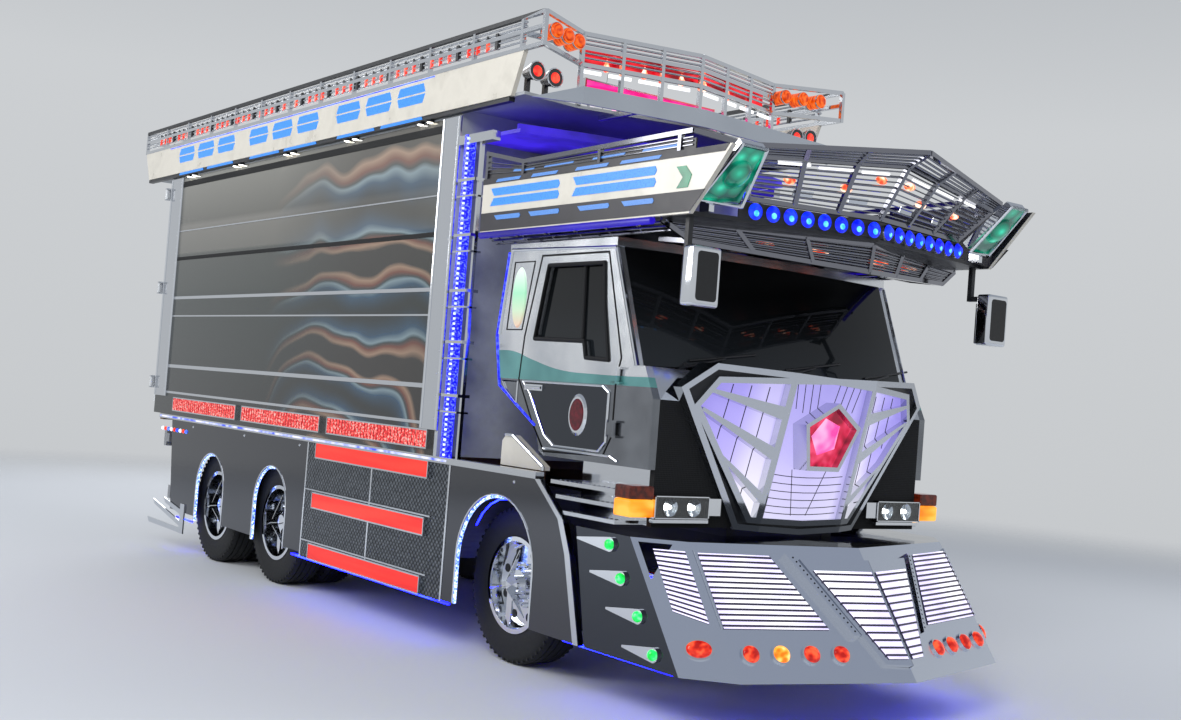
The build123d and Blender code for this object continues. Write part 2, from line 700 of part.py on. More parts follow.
# Cab steps: three treads between the bumper and the door on each side
STEP_T = 22
STEPS = ((-560, 1158), (-620, 1078), (-700, 992))
STEP_FRONT_AT = -1180
STEP_IN_X = 1020
with BuildPart() as cab_steps:
    for side in (1, -1):
        for station, z in STEPS:
            span(
                sorted((side * STEP_IN_X, side * (BUMPER_X - 5))),
                (at(STEP_FRONT_AT), at(station)),
                (z, z + STEP_T),
            )
        span(
            sorted((side * STEP_IN_X, side * (STEP_IN_X + 20))),
            (at(CAB_FRONT_AT + CAB_FLOOR_T), at(-600)),
            (STEPS[2][1], CAB_FLOOR_Z),
        )
save(cab_steps, "cab_steps")

# Red lamp bars: three on each skirt and a row of three under each box side
LAMP_ROW_Z = (1256, 1366)
LAMP_ROW_AT = 835
LAMP_ROW_L = 1455
LAMP_ROW_PITCH = 1600
with BuildPart() as side_lamps:
    for side in (1, -1):
        face = sorted((side * BODY_X, side * (BODY_X + LAMP_DEPTH)))
        for step, z in enumerate(SKIRT_LAMP_ZS):
            low = at(LAMP_ROW_AT + step * LAMP_ROW_PITCH)
            span(face, (low, low + LAMP_ROW_L), LAMP_ROW_Z)
            span(face, [at(s) for s in SKIRT_LAMP_AT], (z - LAMP_H / 2, z + LAMP_H / 2))
save(side_lamps, "side_lamps")

# Rear underrun guard with the tail lamps and the number plate holder
GUARD_AT = 5700
GUARD_X = 1150
GUARD_Z = (420, 540)
PLATE_BOLT_X = 105
PLATE_BOLT_R = 3.5
PLATE_H = 165
with BuildPart() as rear_guard:
    span((-GUARD_X, GUARD_X), (at(GUARD_AT), at(GUARD_AT) + 60), GUARD_Z)
    for side in (1, -1):
        span(
            sorted((side * RAIL_X, side * RAIL_OUT)),
            (at(GUARD_AT), at(GUARD_AT) + 60),
            (GUARD_Z[1], FRAME_BOTTOM),
        )
        span(
            sorted((side * 700, side * GUARD_X)),
            (at(FRAME_TAIL_AT) + 10, at(FRAME_TAIL_AT) + 70),
            (900, 1060),
        )
        span(
            sorted((side * RAIL_OUT, side * GUARD_X)),
            (at(FRAME_TAIL_AT) - 60, at(FRAME_TAIL_AT) + 10),
            (940, 1020),
        )
    span((-170, 170), (at(GUARD_AT) + 20, at(GUARD_AT) + 40), (GUARD_Z[1], GUARD_Z[1] + PLATE_H))
    for side in (1, -1):
        with Locations(
            Plane(
                origin=(side * PLATE_BOLT_X, at(GUARD_AT) + 30, GUARD_Z[1] + PLATE_H - 25),
                z_dir=(0, 1, 0),
            )
        ):
            Cylinder(PLATE_BOLT_R, 60, mode=Mode.SUBTRACT)
save(rear_guard, "rear_guard")

# Crown deck: the flat plate on the box roof that reaches forward over the cab
CROWN_IN = CROWN_X - CROWN_BOARD_T
CROWN_POD_X = 835
CROWN_POD_AT = 20
CROWN_NOSE_AT = -175
CROWN_BOARD_TAIL_AT = 6600
crown_outline = [
    (CROWN_IN, at(CROWN_BOARD_TAIL_AT)),
    (-CROWN_IN, at(CROWN_BOARD_TAIL_AT)),
    (-CROWN_IN, at(CROWN_FRONT_AT)),
    (-CROWN_POD_X, at(CROWN_POD_AT)),
    (0, at(CROWN_NOSE_AT)),
    (CROWN_POD_X, at(CROWN_POD_AT)),
    (CROWN_IN, at(CROWN_FRONT_AT)),
]
with BuildPart() as crown_deck:
    flat_plate(crown_outline, BOX_TOP, BOX_TOP + CROWN_DECK_T)
save(crown_deck, "crown_deck")

# Crown boards: the pale signboards along both sides and across the back
board_ends = stations(
    [
        (CROWN_FRONT_AT + 110, BOX_TOP),
        (CROWN_FRONT_AT, CROWN_BOARD_TOP),
        (CROWN_BOARD_TAIL_AT + 130, CROWN_BOARD_TOP),
        (CROWN_BOARD_TAIL_AT, BOX_TOP),
    ]
)
with BuildPart() as crown_boards:
    for side in (1, -1):
        low, high = sorted((side * CROWN_IN, side * CROWN_X))
        side_plate(board_ends, low, high)
    span(
        (-CROWN_IN, CROWN_IN),
        (at(CROWN_BOARD_TAIL_AT) - CROWN_BOARD_T, at(CROWN_BOARD_TAIL_AT)),
        (BOX_TOP + CROWN_DECK_T, CROWN_BOARD_TOP),
    )
save(crown_boards, "crown_boards")

# Crown cage: rails and posts above the boards, all round the roof
CAGE_SIDE_X = CROWN_X - BAR / 2
CAGE_TAIL_AT = ROOF_TAIL_AT - BAR / 2
CAGE_HORN_AT = -215
CAGE_NOSE_AT = -169
CAGE_POST_PITCH = 560
CAGE_RAIL_DROP = 90
CAGE_ROD_R = 7
CAGE_RODS = (35, 62, 120, 150)
top_z = CROWN_TOP - BAR / 2
with BuildPart() as crown_cage:
    ring = [
        (0, at(CAGE_TAIL_AT)),
        (CAGE_SIDE_X, at(CAGE_TAIL_AT)),
        (CAGE_SIDE_X, at(CAGE_HORN_AT)),
        (CROWN_POD_X, at(CROWN_POD_AT)),
        (0, at(CAGE_NOSE_AT)),
    ]
    for z in (top_z, top_z - CAGE_RAIL_DROP, CROWN_BOARD_TOP + BAR / 2):
        for (x1, y1), (x2, y2) in zip(ring, ring[1:]):
            if z == top_z - CAGE_RAIL_DROP and (x1, x2) == (CAGE_SIDE_X, CROWN_POD_X):
                continue
            bar((x1, y1, z), (x2, y2, z))
    for drop in CAGE_RODS:
        z = top_z - drop
        rod((CAGE_SIDE_X, at(CAGE_TAIL_AT), z), (CAGE_SIDE_X, at(CROWN_FRONT_AT), z), CAGE_ROD_R)
        rod((CROWN_POD_X, at(CROWN_POD_AT), z), (0, at(CAGE_NOSE_AT), z), CAGE_ROD_R)
    post_count = int((CAGE_TAIL_AT - CROWN_FRONT_AT) / CAGE_POST_PITCH)
    for step in range(post_count + 1):
        y = at(CAGE_TAIL_AT) - step * CAGE_POST_PITCH
        bar((CAGE_SIDE_X, y, CROWN_BOARD_TOP), (CAGE_SIDE_X, y, top_z))
    bar((*ring[2], CROWN_BOARD_TOP), (*ring[2], top_z))
    for x, y in ring[3:]:
        bar((x, y, BOX_TOP + CROWN_DECK_T), (x, y, top_z))
    for x in (CROWN_POD_X / 3, 2 * CROWN_POD_X / 3):
        y = at(CAGE_NOSE_AT) + (CROWN_POD_AT - CAGE_NOSE_AT) * x / CROWN_POD_X
        bar((x, y, BOX_TOP + CROWN_DECK_T), (x, y, top_z))
    for x in (0, CROWN_POD_X):
        bar((x, at(CAGE_TAIL_AT), CROWN_BOARD_TOP), (x, at(CAGE_TAIL_AT), top_z))
        bar((x, at(CROWN_BOARD_TAIL_AT) - 20, CROWN_BOARD_TOP + 13), (x, at(CAGE_TAIL_AT), CROWN_BOARD_TOP + 13))
    mirror(about=Plane.YZ)
save(crown_cage, "crown_cage")

# Crown sign and chrome band: the lit sign board and the V-shaped strip over the cab
SIGN_X = 560
SIGN_AT = 340
SIGN_Z = (BOX_TOP + 175, BOX_TOP + 280)
BAND_T = 16
BAND_NOSE_AT = -250
BAND_BEND = (1050, -330)
BAND_TIP = (1284, -120)
BAND_NOSE_Z = (BOX_TOP - 2, BOX_TOP + 112)
BAND_BEND_Z = (BOX_TOP - 55, BOX_TOP + 50)
BAND_TIP_Z = BOX_TOP - 30
BAND_BRACKET_X = 600
BAND_BRACKET = 30
SHELF_X = 1150
SHELF_NOSE_AT = -120
SHELF_CORNER = (760, 60)
SHELF_Z = (BOX_TOP - 190, BOX_TOP - 165)
SHELF_RIB = 30
with BuildPart() as crown_front:
    span((-SIGN_X, SIGN_X), (at(SIGN_AT), at(SIGN_AT) + 60), SIGN_Z)
    for side in (1, -1):
        x = side * (SIGN_X - 80)
        span((x - 20, x + 20), (at(SIGN_AT) + 20, at(SIGN_AT) + 50), (BOX_TOP + CROWN_DECK_T, SIGN_Z[0]))
    for side in (1, -1):
        bend_x, bend_y = side * BAND_BEND[0], at(BAND_BEND[1])
        nose = [(0, at(BAND_NOSE_AT), BAND_NOSE_Z[0]), (0, at(BAND_NOSE_AT), BAND_NOSE_Z[1])]
        bend = [(bend_x, bend_y, BAND_BEND_Z[1]), (bend_x, bend_y, BAND_BEND_Z[0])]
        tip = (side * BAND_TIP[0], at(BAND_TIP[1]), BAND_TIP_Z)
        for corners in ([*nose, *bend], [bend[1], bend[0], tip]):
            face_plate(corners if side < 0 else corners[::-1], BAND_T)
        bracket_x = side * BAND_BRACKET_X
        band_run = (BAND_BEND[1] - BAND_NOSE_AT) * BAND_BRACKET_X / BAND_BEND[0]
        span(
            (bracket_x - BAND_BRACKET / 2, bracket_x + BAND_BRACKET / 2),
            (at(BAND_NOSE_AT + band_run) + BAND_T / 2, at(CROWN_POD_AT) + 80),
            (BOX_TOP - BAND_BRACKET, BOX_TOP),
        )
    shelf = [
        (SHELF_X, BOX_FRONT_Y),
        (SHELF_X, at(SHELF_CORNER[1]) + 120),
        (SHELF_CORNER[0], at(SHELF_CORNER[1])),
        (0, at(SHELF_NOSE_AT)),
    ]
    flat_plate([*shelf, *[(-x, y) for x, y in reversed(shelf[:-1])]], *SHELF_Z)
    for (x1, y1), (x2, y2) in zip(shelf[1:], shelf[2:]):
        for side in (1, -1):
            z = SHELF_Z[1] + SHELF_RIB / 2
            bar((side * x1, y1 + SHELF_RIB, z), (side * x2, y2 + SHELF_RIB, z), SHELF_RIB)
save(crown_front, "crown_front")

# Amber lamps: three bullets at each front corner of the crown
AMBER_R = 48
AMBER_L = 110
AMBER_Z = CROWN_TOP - 88
HORN_R = 62
HORN_BACK_R = 34
HORN_L = 120
HORN_FOOT_W = 28
HORNS = ((1190, CROWN_BOTTOM + 138), (1055, CROWN_BOTTOM + 122))
HORN_AT = -25
AMBER_POINTS = ((1149, -88), (1028, -38), (908, 13))
with BuildPart() as amber_lamps:
    for side in (1, -1):
        for x, station in AMBER_POINTS:
            rod(
                (side * x, at(station) - AMBER_L / 2, AMBER_Z),
                (side * x, at(station) + AMBER_L / 2, AMBER_Z),
                AMBER_R,
            )
        post_face = CROWN_POD_X + BAR / 2
        span(
            sorted((side * post_face, side * (CAGE_SIDE_X - BAR / 2))),
            (at(60), at(90)),
            (AMBER_Z - 15, AMBER_Z + 15),
        )
        span(
            sorted((side * post_face, side * (post_face + 25))),
            (at(CROWN_POD_AT) - BAR / 2, at(60)),
            (AMBER_Z - 15, AMBER_Z + 15),
        )
        for x, station in AMBER_POINTS:
            rod((side * x, at(station), AMBER_Z), (side * x, at(90), AMBER_Z), 12)
        for x, z in HORNS:
            front = Plane(origin=(side * x, at(HORN_AT) + HORN_L, z), z_dir=(0, -1, 0))
            with Locations(front):
                Cone(HORN_BACK_R, HORN_R, HORN_L, align=ON_FACE)
            span(
                (side * x - HORN_FOOT_W / 2, side * x + HORN_FOOT_W / 2),
                (at(HORN_AT) + HORN_L - HORN_FOOT_W, at(HORN_AT) + HORN_L),
                (CROWN_BOTTOM, z),
            )
save(amber_lamps, "amber_lamps")

# Cab. Outlines are (station, z) seen from the side.
CAB_SIDE_TOP = CAB_ROOF_Z - CAB_ROOF_T
SCREEN_FOOT_AT = -1125
SCREEN_HEAD_AT = -870
COWL_AT = -1200
WAIST_Z = 1683
CHINE = ((229, 1700), (-190, 1474))
CAB_SIDE = (
    (CAB_FRONT_AT, CAB_FLOOR_Z),
    (CAB_FRONT_AT, WAIST_Z),
    (COWL_AT, BELT_Z),
    (SCREEN_FOOT_AT, BELT_Z),
    (SCREEN_HEAD_AT, CAB_SIDE_TOP),
    (CAB_TAIL_AT, CAB_SIDE_TOP),
    (CAB_TAIL_AT + 75, 2010),
    *CHINE,
    (-262, CAB_FLOOR_Z),
)
CAB_DOOR = (
    (-300, 1327),
    (-150, 1500),
    (21, 1745),
    (-6, 2011),
    (-135, 2500),
    (-800, 2500),
    (-985, 1900),
    (-950, 1770),
    (-950, 1463),
    (-880, 1345),
)
CAB_WINDOW = (
    (-216, 2440),
    (-120, 1996),
    (-626, 1988),
    (-653, 1892),
    (-870, 1884),
    (-800, 2200),
    (-770, 2440),
)
DOOR_GAP = 8
DOOR_T = 44
DOOR_HINGE_X = CAB_X + 18
DOOR_HINGE_Y = at(-990)
DOOR_HINGE_ZS = (1500, 1800)
DOOR_EAR_R = 12
DOOR_EAR_H = 70
DOOR_PIN_R = 8
DOOR_LUG_T = 12
with BuildPart() as cab_sides:
    for side in (1, -1):
        low, high = sorted((side * (CAB_X - CAB_WALL), side * CAB_X))
        side_plate(stations(CAB_SIDE), low, high)
        side_plate(stations(CAB_DOOR), low - 5, high + 5, Mode.SUBTRACT, grow=DOOR_GAP)
        for z in DOOR_HINGE_ZS:
            with Locations((side * DOOR_HINGE_X, DOOR_HINGE_Y, z)):
                Cylinder(DOOR_PIN_R, DOOR_EAR_H + 2 * DOOR_LUG_T)
            for way in (-1, 1):
                lug_z = z + way * (DOOR_EAR_H / 2 + DOOR_LUG_T / 2 + 1)
                span(
                    sorted((side * CAB_X, side * (DOOR_HINGE_X + DOOR_EAR_R))),
                    (DOOR_HINGE_Y - 30, DOOR_HINGE_Y + DOOR_EAR_R),
                    (lug_z - DOOR_LUG_T / 2, lug_z + DOOR_LUG_T / 2),
                )
save(cab_sides, "cab_sides")
for side_name, side in SIDES:
    low, high = sorted((side * (CAB_X - DOOR_T), side * CAB_X))
    with BuildPart() as cab_door:
        side_plate(stations(CAB_DOOR), low, high)
        side_plate(stations(CAB_WINDOW), low - 5, high + 5, Mode.SUBTRACT)
        for z in DOOR_HINGE_ZS:
            ear = (z - DOOR_EAR_H / 2, z + DOOR_EAR_H / 2)
            foot = (DOOR_HINGE_Y + 46, DOOR_HINGE_Y + 80)
            span(sorted((side * CAB_X, side * (CAB_X + 14))), foot, ear)
            span(
                sorted((side * (CAB_X + 8), side * (CAB_X + 14))),
                (DOOR_HINGE_Y, foot[1]),
                ear,
            )
            with Locations((side * DOOR_HINGE_X, DOOR_HINGE_Y, z)):
                Cylinder(DOOR_EAR_R, DOOR_EAR_H)
                Cylinder(DOOR_PIN_R + PIN_CLEAR, 2 * DOOR_EAR_H, mode=Mode.SUBTRACT)
    save(cab_door, f"cab_door_{side_name}")
    with BuildPart() as door_glass:
        glass = sorted((side * (CAB_X - CAB_WALL / 2), side * (CAB_X - CAB_WALL / 2 - GLASS_T)))
        side_plate(stations(CAB_WINDOW), *glass)
    save(door_glass, f"door_glass_{side_name}")

CAB_IN = CAB_X - CAB_WALL
with BuildPart() as cab_roof:
    with BuildSketch(Plane.XY.offset(CAB_SIDE_TOP)):
        with BuildLine():
            Polyline(
                (-CAB_X, at(SCREEN_HEAD_AT)),
                (-CAB_X, at(CAB_TAIL_AT)),
                (CAB_X, at(CAB_TAIL_AT)),
                (CAB_X, at(SCREEN_HEAD_AT)),
            )
            ThreePointArc(
                (CAB_X, at(SCREEN_HEAD_AT)),
                (0, at(SCREEN_HEAD_AT) - SCREEN_BULGE),
                (-CAB_X, at(SCREEN_HEAD_AT)),
            )
        make_face()
    extrude(amount=CAB_ROOF_T)
save(cab_roof, "cab_roof")
with BuildPart() as cab_back:
    side_plate(
        stations(
            [
                (CAB_TAIL_AT, CAB_SIDE_TOP),
                (CAB_TAIL_AT + 75, 2010),
                CHINE[0],
                (CHINE[0][0] - 45, CHINE[0][1]),
                (CAB_TAIL_AT + 30, 2010),
                (CAB_TAIL_AT - 45, CAB_SIDE_TOP),
            ]
        ),
        -CAB_IN,
        CAB_IN,
    )
save(cab_back, "cab_back")
with BuildPart() as cab_floor:
    side_plate(
        stations(
            [
                CHINE[0],
                CHINE[1],
                (-262, CAB_FLOOR_Z),
                (CAB_FRONT_AT + CAB_FLOOR_T, CAB_FLOOR_Z),
                (CAB_FRONT_AT + CAB_FLOOR_T, CAB_FLOOR_Z + CAB_FLOOR_T),
                (-290, CAB_FLOOR_Z + CAB_FLOOR_T),
                (CHINE[1][0] - 30, CHINE[1][1] + 30),
                (CHINE[0][0] - 45, CHINE[0][1]),
            ]
        ),
        -CAB_IN,
        CAB_IN,
    )
    for side in (1, -1):
        span(
            sorted((side * RAIL_X, side * RAIL_OUT)),
            (at(-1100), at(-1000)),
            (FRAME_TOP, CAB_FLOOR_Z),
        )
save(cab_floor, "cab_floor")
CAB_FRONT_BOTTOM = 990
with BuildPart() as cab_front:
    side_plate(
        stations(
            [
                (CAB_FRONT_AT, CAB_FRONT_BOTTOM),
                (CAB_FRONT_AT, WAIST_Z),
                (COWL_AT, BELT_Z),
                (SCREEN_FOOT_AT + 40, BELT_Z),
                (SCREEN_FOOT_AT + 40, BELT_Z - 40),
                (COWL_AT + 20, BELT_Z - 40),
                (CAB_FRONT_AT + CAB_FLOOR_T, WAIST_Z - 10),
                (CAB_FRONT_AT + CAB_FLOOR_T, CAB_FRONT_BOTTOM),
            ]
        ),
        -CAB_IN,
        CAB_IN,
    )
save(cab_front, "cab_front")

# Windscreen: a sheet curved in plan, leaning back between the cowl and the roof
with BuildPart() as windscreen:
    foot = Vector(0, at(SCREEN_FOOT_AT), BELT_Z)
    head = Vector(0, at(SCREEN_HEAD_AT), CAB_SIDE_TOP)
    plane = Plane(origin=foot, x_dir=(1, 0, 0), z_dir=head - foot)
    with BuildSketch(plane):
        with BuildLine():
            ThreePointArc((-CAB_IN, 0), (0, -SCREEN_BULGE), (CAB_IN, 0))
            Line((CAB_IN, 0), (CAB_IN, SCREEN_T))
            ThreePointArc((CAB_IN, SCREEN_T), (0, -SCREEN_BULGE + SCREEN_T), (-CAB_IN, SCREEN_T))
            Line((-CAB_IN, SCREEN_T), (-CAB_IN, 0))
        make_face()
    extrude(amount=(head - foot).length)
    span((-CAB_X, CAB_X), (at(-2000), at(0)), (BELT_Z - 300, BELT_Z), Mode.SUBTRACT)
    span((-CAB_X, CAB_X), (at(-2000), at(0)), (CAB_SIDE_TOP, CAB_SIDE_TOP + 300), Mode.SUBTRACT)
save(windscreen, "windscreen")

# Cab inside: two seats, the dashboard and the steering wheel
SEAT_X = 560
SEAT_W = 520
SEAT_Z = 1650
SEAT_T = 110
BACKREST_TOP = 2260
DASH_AT = (-1150, -900)
with BuildPart() as cab_interior:
    for side in (1, -1):
        x = (side * SEAT_X - SEAT_W / 2, side * SEAT_X + SEAT_W / 2)
        span(x, (at(-500), at(-20)), (SEAT_Z, SEAT_Z + SEAT_T))
        span(x, (at(-90), at(30)), (SEAT_Z + SEAT_T, BACKREST_TOP))
        span((x[0] + 80, x[1] - 80), (at(-480), at(-320)), (CAB_FLOOR_Z + CAB_FLOOR_T, SEAT_Z))
    span((-CAB_IN + 5, CAB_IN - 5), [at(s) for s in DASH_AT], (1560, 1815))
    span((-150, 150), [at(s) for s in DASH_AT], (CAB_FLOOR_Z + CAB_FLOOR_T, 1560))
    wheel_at = Plane(origin=(-SEAT_X, at(-760), 1900), x_dir=(1, 0, 0), z_dir=(0, 0.6, 0.8))
    with Locations(wheel_at):
        Torus(215, 16)
        Cylinder(45, 30)
        Box(420, 30, 14)
    rod((-SEAT_X, at(-760), 1900), (-SEAT_X, at(-960), 1640), 25)
save(cab_interior, "cab_interior")

# Headlamps and corner turn lamps on the lower front of the cab
HEADLAMP_X = (690, 1085)
HEADLAMP_Z = (1040, 1165)
TURN_X = (1090, 1255)
TURN_Z = (1045, 1215)
LAMP_FACE_AT = -1330
with BuildPart() as front_lamps:
    for side in (1, -1):
        span(
            sorted((side * HEADLAMP_X[0], side * HEADLAMP_X[1])),
            (at(LAMP_FACE_AT), at(CAB_FRONT_AT)),
            HEADLAMP_Z,
        )
        span(
            sorted((side * TURN_X[0], side * TURN_X[1])),
            (at(LAMP_FACE_AT), at(-1180)),
            TURN_Z,
        )
save(front_lamps, "front_lamps")

# Shield on the cab's nose: leaning frame, struts and lit panel behind them
SHIELD_BACK_AT = CAB_FRONT_AT
SHIELD_OUT = ((0, 1880), (810, 1905), (985, 1760), (485, 985), (0, 960))
SHIELD_IN = ((0, 1845), (765, 1800), (850, 1665), (395, 1060), (0, 1045))
SHIELD_FLAT_X = 330
SHIELD_TOP_AT = -1590
SHIELD_FOOT_AT = -1345
SHIELD_Z = (940, 1940)
WING_RUN = (670, 190)
GROOVE_IN = 34
SHIELD_INSETS = {"emblem": -60, "field": -15, "face": 0, "groove": 28, "seat": 44.7, "panel": 45}
STRUT = ((309, 1830), (353, 1825), (365, 1050), (321, 1050))
SHIELD_BARS = (
    # outer point, inner point, width at each end
    ((800, 1755), (335, 1655), 22, 76),
    ((835, 1652), (350, 1425), 20, 72),
    ((690, 1420), (355, 1165), 18, 60),
)
EMBLEM = ((0, 1740), (225, 1605), (131, 1344), (0, 1344))
EMBLEM_WALL = 26


def mirrored(half):
    """A half outline of (x, z) points that starts and ends at x = 0, made whole."""
    return [*half, *[(-x, z) for x, z in reversed(half[1:-1])]]


def front_prism(outline, mode, grow=0):
    """Prism ahead of the cab whose front view is an (x, z) outline."""
    with BuildSketch(Plane(origin=(0, at(SHIELD_BACK_AT), 0), x_dir=(1, 0, 0), z_dir=(0, -1, 0))) as front:
        with BuildLine():
            Polyline(*outline, close=True)
        make_face()
        if grow:
            offset(amount=grow, kind=Kind.INTERSECTION)
    return extrude(front.sketch, amount=500, mode=mode)


# Wedges with a flat middle and swept wings, leaning forward at the top, at each depth
rise = Vector(0, SHIELD_TOP_AT - SHIELD_FOOT_AT, SHIELD_Z[1] - SHIELD_Z[0])
shield_cores = {}
for layer, inset in SHIELD_INSETS.items():
    with BuildPart() as core:
        span((-1000, 1000), (at(SHIELD_BACK_AT) - 450, at(SHIELD_BACK_AT)), SHIELD_Z)
        for x, run in (
            (0, Vector(1, 0, 0)),
            (SHIELD_FLAT_X, Vector(*WING_RUN, 0)),
            (-SHIELD_FLAT_X, Vector(WING_RUN[0], -WING_RUN[1], 0)),
        ):
            facet = Plane(origin=(x, at(SHIELD_FOOT_AT), SHIELD_Z[0]), x_dir=run, z_dir=run.cross(rise))
            split(bisect_by=facet.offset(-inset), keep=Keep.BOTTOM)
    shield_cores[layer] = core.part

with BuildPart() as shield_bars:
    for side in (1, -1):
        front_prism([(side * x, z) for x, z in STRUT], Mode.ADD)
        for (out_x, out_z), (in_x, in_z), thin, wide in SHIELD_BARS:
            front_prism(
                [
                    (side * out_x, out_z + thin / 2),
                    (side * in_x, in_z + wide / 2),
                    (side * in_x, in_z - wide / 2),
                    (side * out_x, out_z - thin / 2),
                ],
                Mode.ADD,
            )
    add(shield_cores["face"], mode=Mode.INTERSECT)
    add(shield_cores["seat"], mode=Mode.SUBTRACT)
with BuildPart() as shield_ring:
    front_prism(mirrored(SHIELD_OUT), Mode.ADD)
    front_prism(mirrored(SHIELD_IN), Mode.SUBTRACT)
    add(shield_cores["face"], mode=Mode.INTERSECT)
with BuildPart() as shield_groove:
    front_prism(mirrored(SHIELD_OUT), Mode.ADD, grow=-GROOVE_IN)
    front_prism(mirrored(SHIELD_IN), Mode.SUBTRACT, grow=GROOVE_IN)
    add(shield_cores["groove"], mode=Mode.SUBTRACT)
with BuildPart() as emblem:
    front_prism(mirrored(EMBLEM), Mode.ADD)
    add(shield_cores["emblem"], mode=Mode.INTERSECT)
    add(shield_cores["seat"], mode=Mode.SUBTRACT)
with BuildPart() as emblem_pocket:
    front_prism(mirrored(EMBLEM), Mode.ADD, grow=-EMBLEM_WALL)
    add(shield_cores["field"], mode=Mode.SUBTRACT)
with BuildPart() as shield_frame:
    add(shield_ring.part)
    add(shield_groove.part, mode=Mode.SUBTRACT)
    add(shield_bars.part)
    add(emblem.part)
    add(emblem_pocket.part, mode=Mode.SUBTRACT)
save(shield_frame, "shield_frame")
with BuildPart() as shield_panel:
    front_prism(mirrored(SHIELD_IN), Mode.ADD)
    add(shield_cores["panel"], mode=Mode.INTERSECT)
save(shield_panel, "shield_panel")

# Bumper: a leaning plough-shaped shell with a flat top
def bumper_ring(z, inset):
    """Plan of the bumper at a height, set in by inset."""
    shift = BUMPER_LEAN * (z - BUMPER_BOTTOM) / (BUMPER_TOP - BUMPER_BOTTOM)
    half = [
        (BUMPER_X - inset, at(BUMPER_TAIL_AT) + 0.33 * shift + 2 * inset),
        (BUMPER_X - inset, at(BUMPER_SIDE_AT) + shift + inset * 0.8),
        (BUMPER_CORNER_X - inset * 0.6, at(BUMPER_CORNER_AT) + shift + inset * 1.2),
    ]
    nose = (0, at(NOSE_AT) + shift + inset * 1.25)
    with BuildSketch(Plane.XY.offset(z)) as ring:
        with BuildLine():
            Polyline(*half, nose, *[(-x, y) for x, y in reversed(half)], close=True)
        make_face()
    return ring.sketch


# Facets of the shell, by the (x, station) of their ends at the foot
FRONT_FACET = ((0, NOSE_AT), (BUMPER_CORNER_X, BUMPER_CORNER_AT))
CORNER_FACET = ((BUMPER_CORNER_X, BUMPER_CORNER_AT), (BUMPER_X, BUMPER_SIDE_AT))


def bumper_facet(side, start, end):
    """Plane of a leaning facet of the bumper, facing outward."""
    foot = Vector(side * start[0], at(start[1]), BUMPER_BOTTOM)
    run = Vector(side * end[0], at(end[1]), BUMPER_BOTTOM) - foot
    lean = Vector(0, BUMPER_LEAN, BUMPER_TOP - BUMPER_BOTTOM)
    return Plane(origin=foot, x_dir=run, z_dir=run.cross(lean) * side)


def facet_plane_at(facet, x, z):
    """The facet's plane, moved to its point that shows at x, z from the front."""
    out = facet.z_dir
    foot = facet.origin
    y = foot.Y - (out.X * (x - foot.X) + out.Z * (z - foot.Z)) / out.Y
    return Plane(origin=(x, y, z), x_dir=facet.x_dir, z_dir=out)


def facet_panel(facet, side, corners, thick):
    """Plate standing on a facet, with its corners given as (x, z) seen from the front."""
    spots = [facet.to_local_coords(facet_plane_at(facet, side * x, z).origin) for x, z in corners]
    with BuildSketch(facet) as panel:
        with BuildLine():
            Polyline(*[(spot.X, spot.Y) for spot in spots], close=True)
        make_face()
    extrude(panel.sketch, amount=thick)


# Raised pieces on the facets, as (x, z) corners seen from the front
NOSE_WEDGE = ((-6, 872), (420, 868), (158, 372), (-6, 366))
NOSE_WEDGE_T = 26
NOSE_STRIP = ((505, 888), (462, 888), (246, 500), (286, 500))
NOSE_STRIP_T = 40
CORNER_STRIP = ((1017, 905), (1003, 905), (1010, 540), (1018, 540))
CORNER_STRIP_T = 12
with BuildPart() as bumper:
    loft([bumper_ring(BUMPER_BOTTOM, 0), bumper_ring(BUMPER_TOP, 0)], ruled=True)
    loft(
        [bumper_ring(BUMPER_BOTTOM - 40, BUMPER_WALL), bumper_ring(BUMPER_TOP - BUMPER_SHEET, BUMPER_WALL)],
        ruled=True,
        mode=Mode.SUBTRACT,
    )
    span(
        (-BUMPER_X + BUMPER_WALL, BUMPER_X - BUMPER_WALL),
        (at(-1500), at(BUMPER_TAIL_AT) + 400),
        (BUMPER_BOTTOM - 50, BUMPER_TOP - BUMPER_SHEET),
        Mode.SUBTRACT,
    )
    span(
        (-RAIL_OUT - 120, RAIL_OUT + 120),
        (at(-1300), at(BUMPER_TAIL_AT) + 400),
        (BUMPER_TOP - 60, BUMPER_TOP + 10),
        Mode.SUBTRACT,
    )
    for side in (1, -1):
        facet = bumper_facet(side, *FRONT_FACET)
        facet_panel(facet, side, NOSE_WEDGE, NOSE_WEDGE_T)
        facet_panel(facet, side, NOSE_STRIP, NOSE_STRIP_T)
        facet_panel(facet, side, CORNER_STRIP, CORNER_STRIP_T)
save(bumper, "bumper")

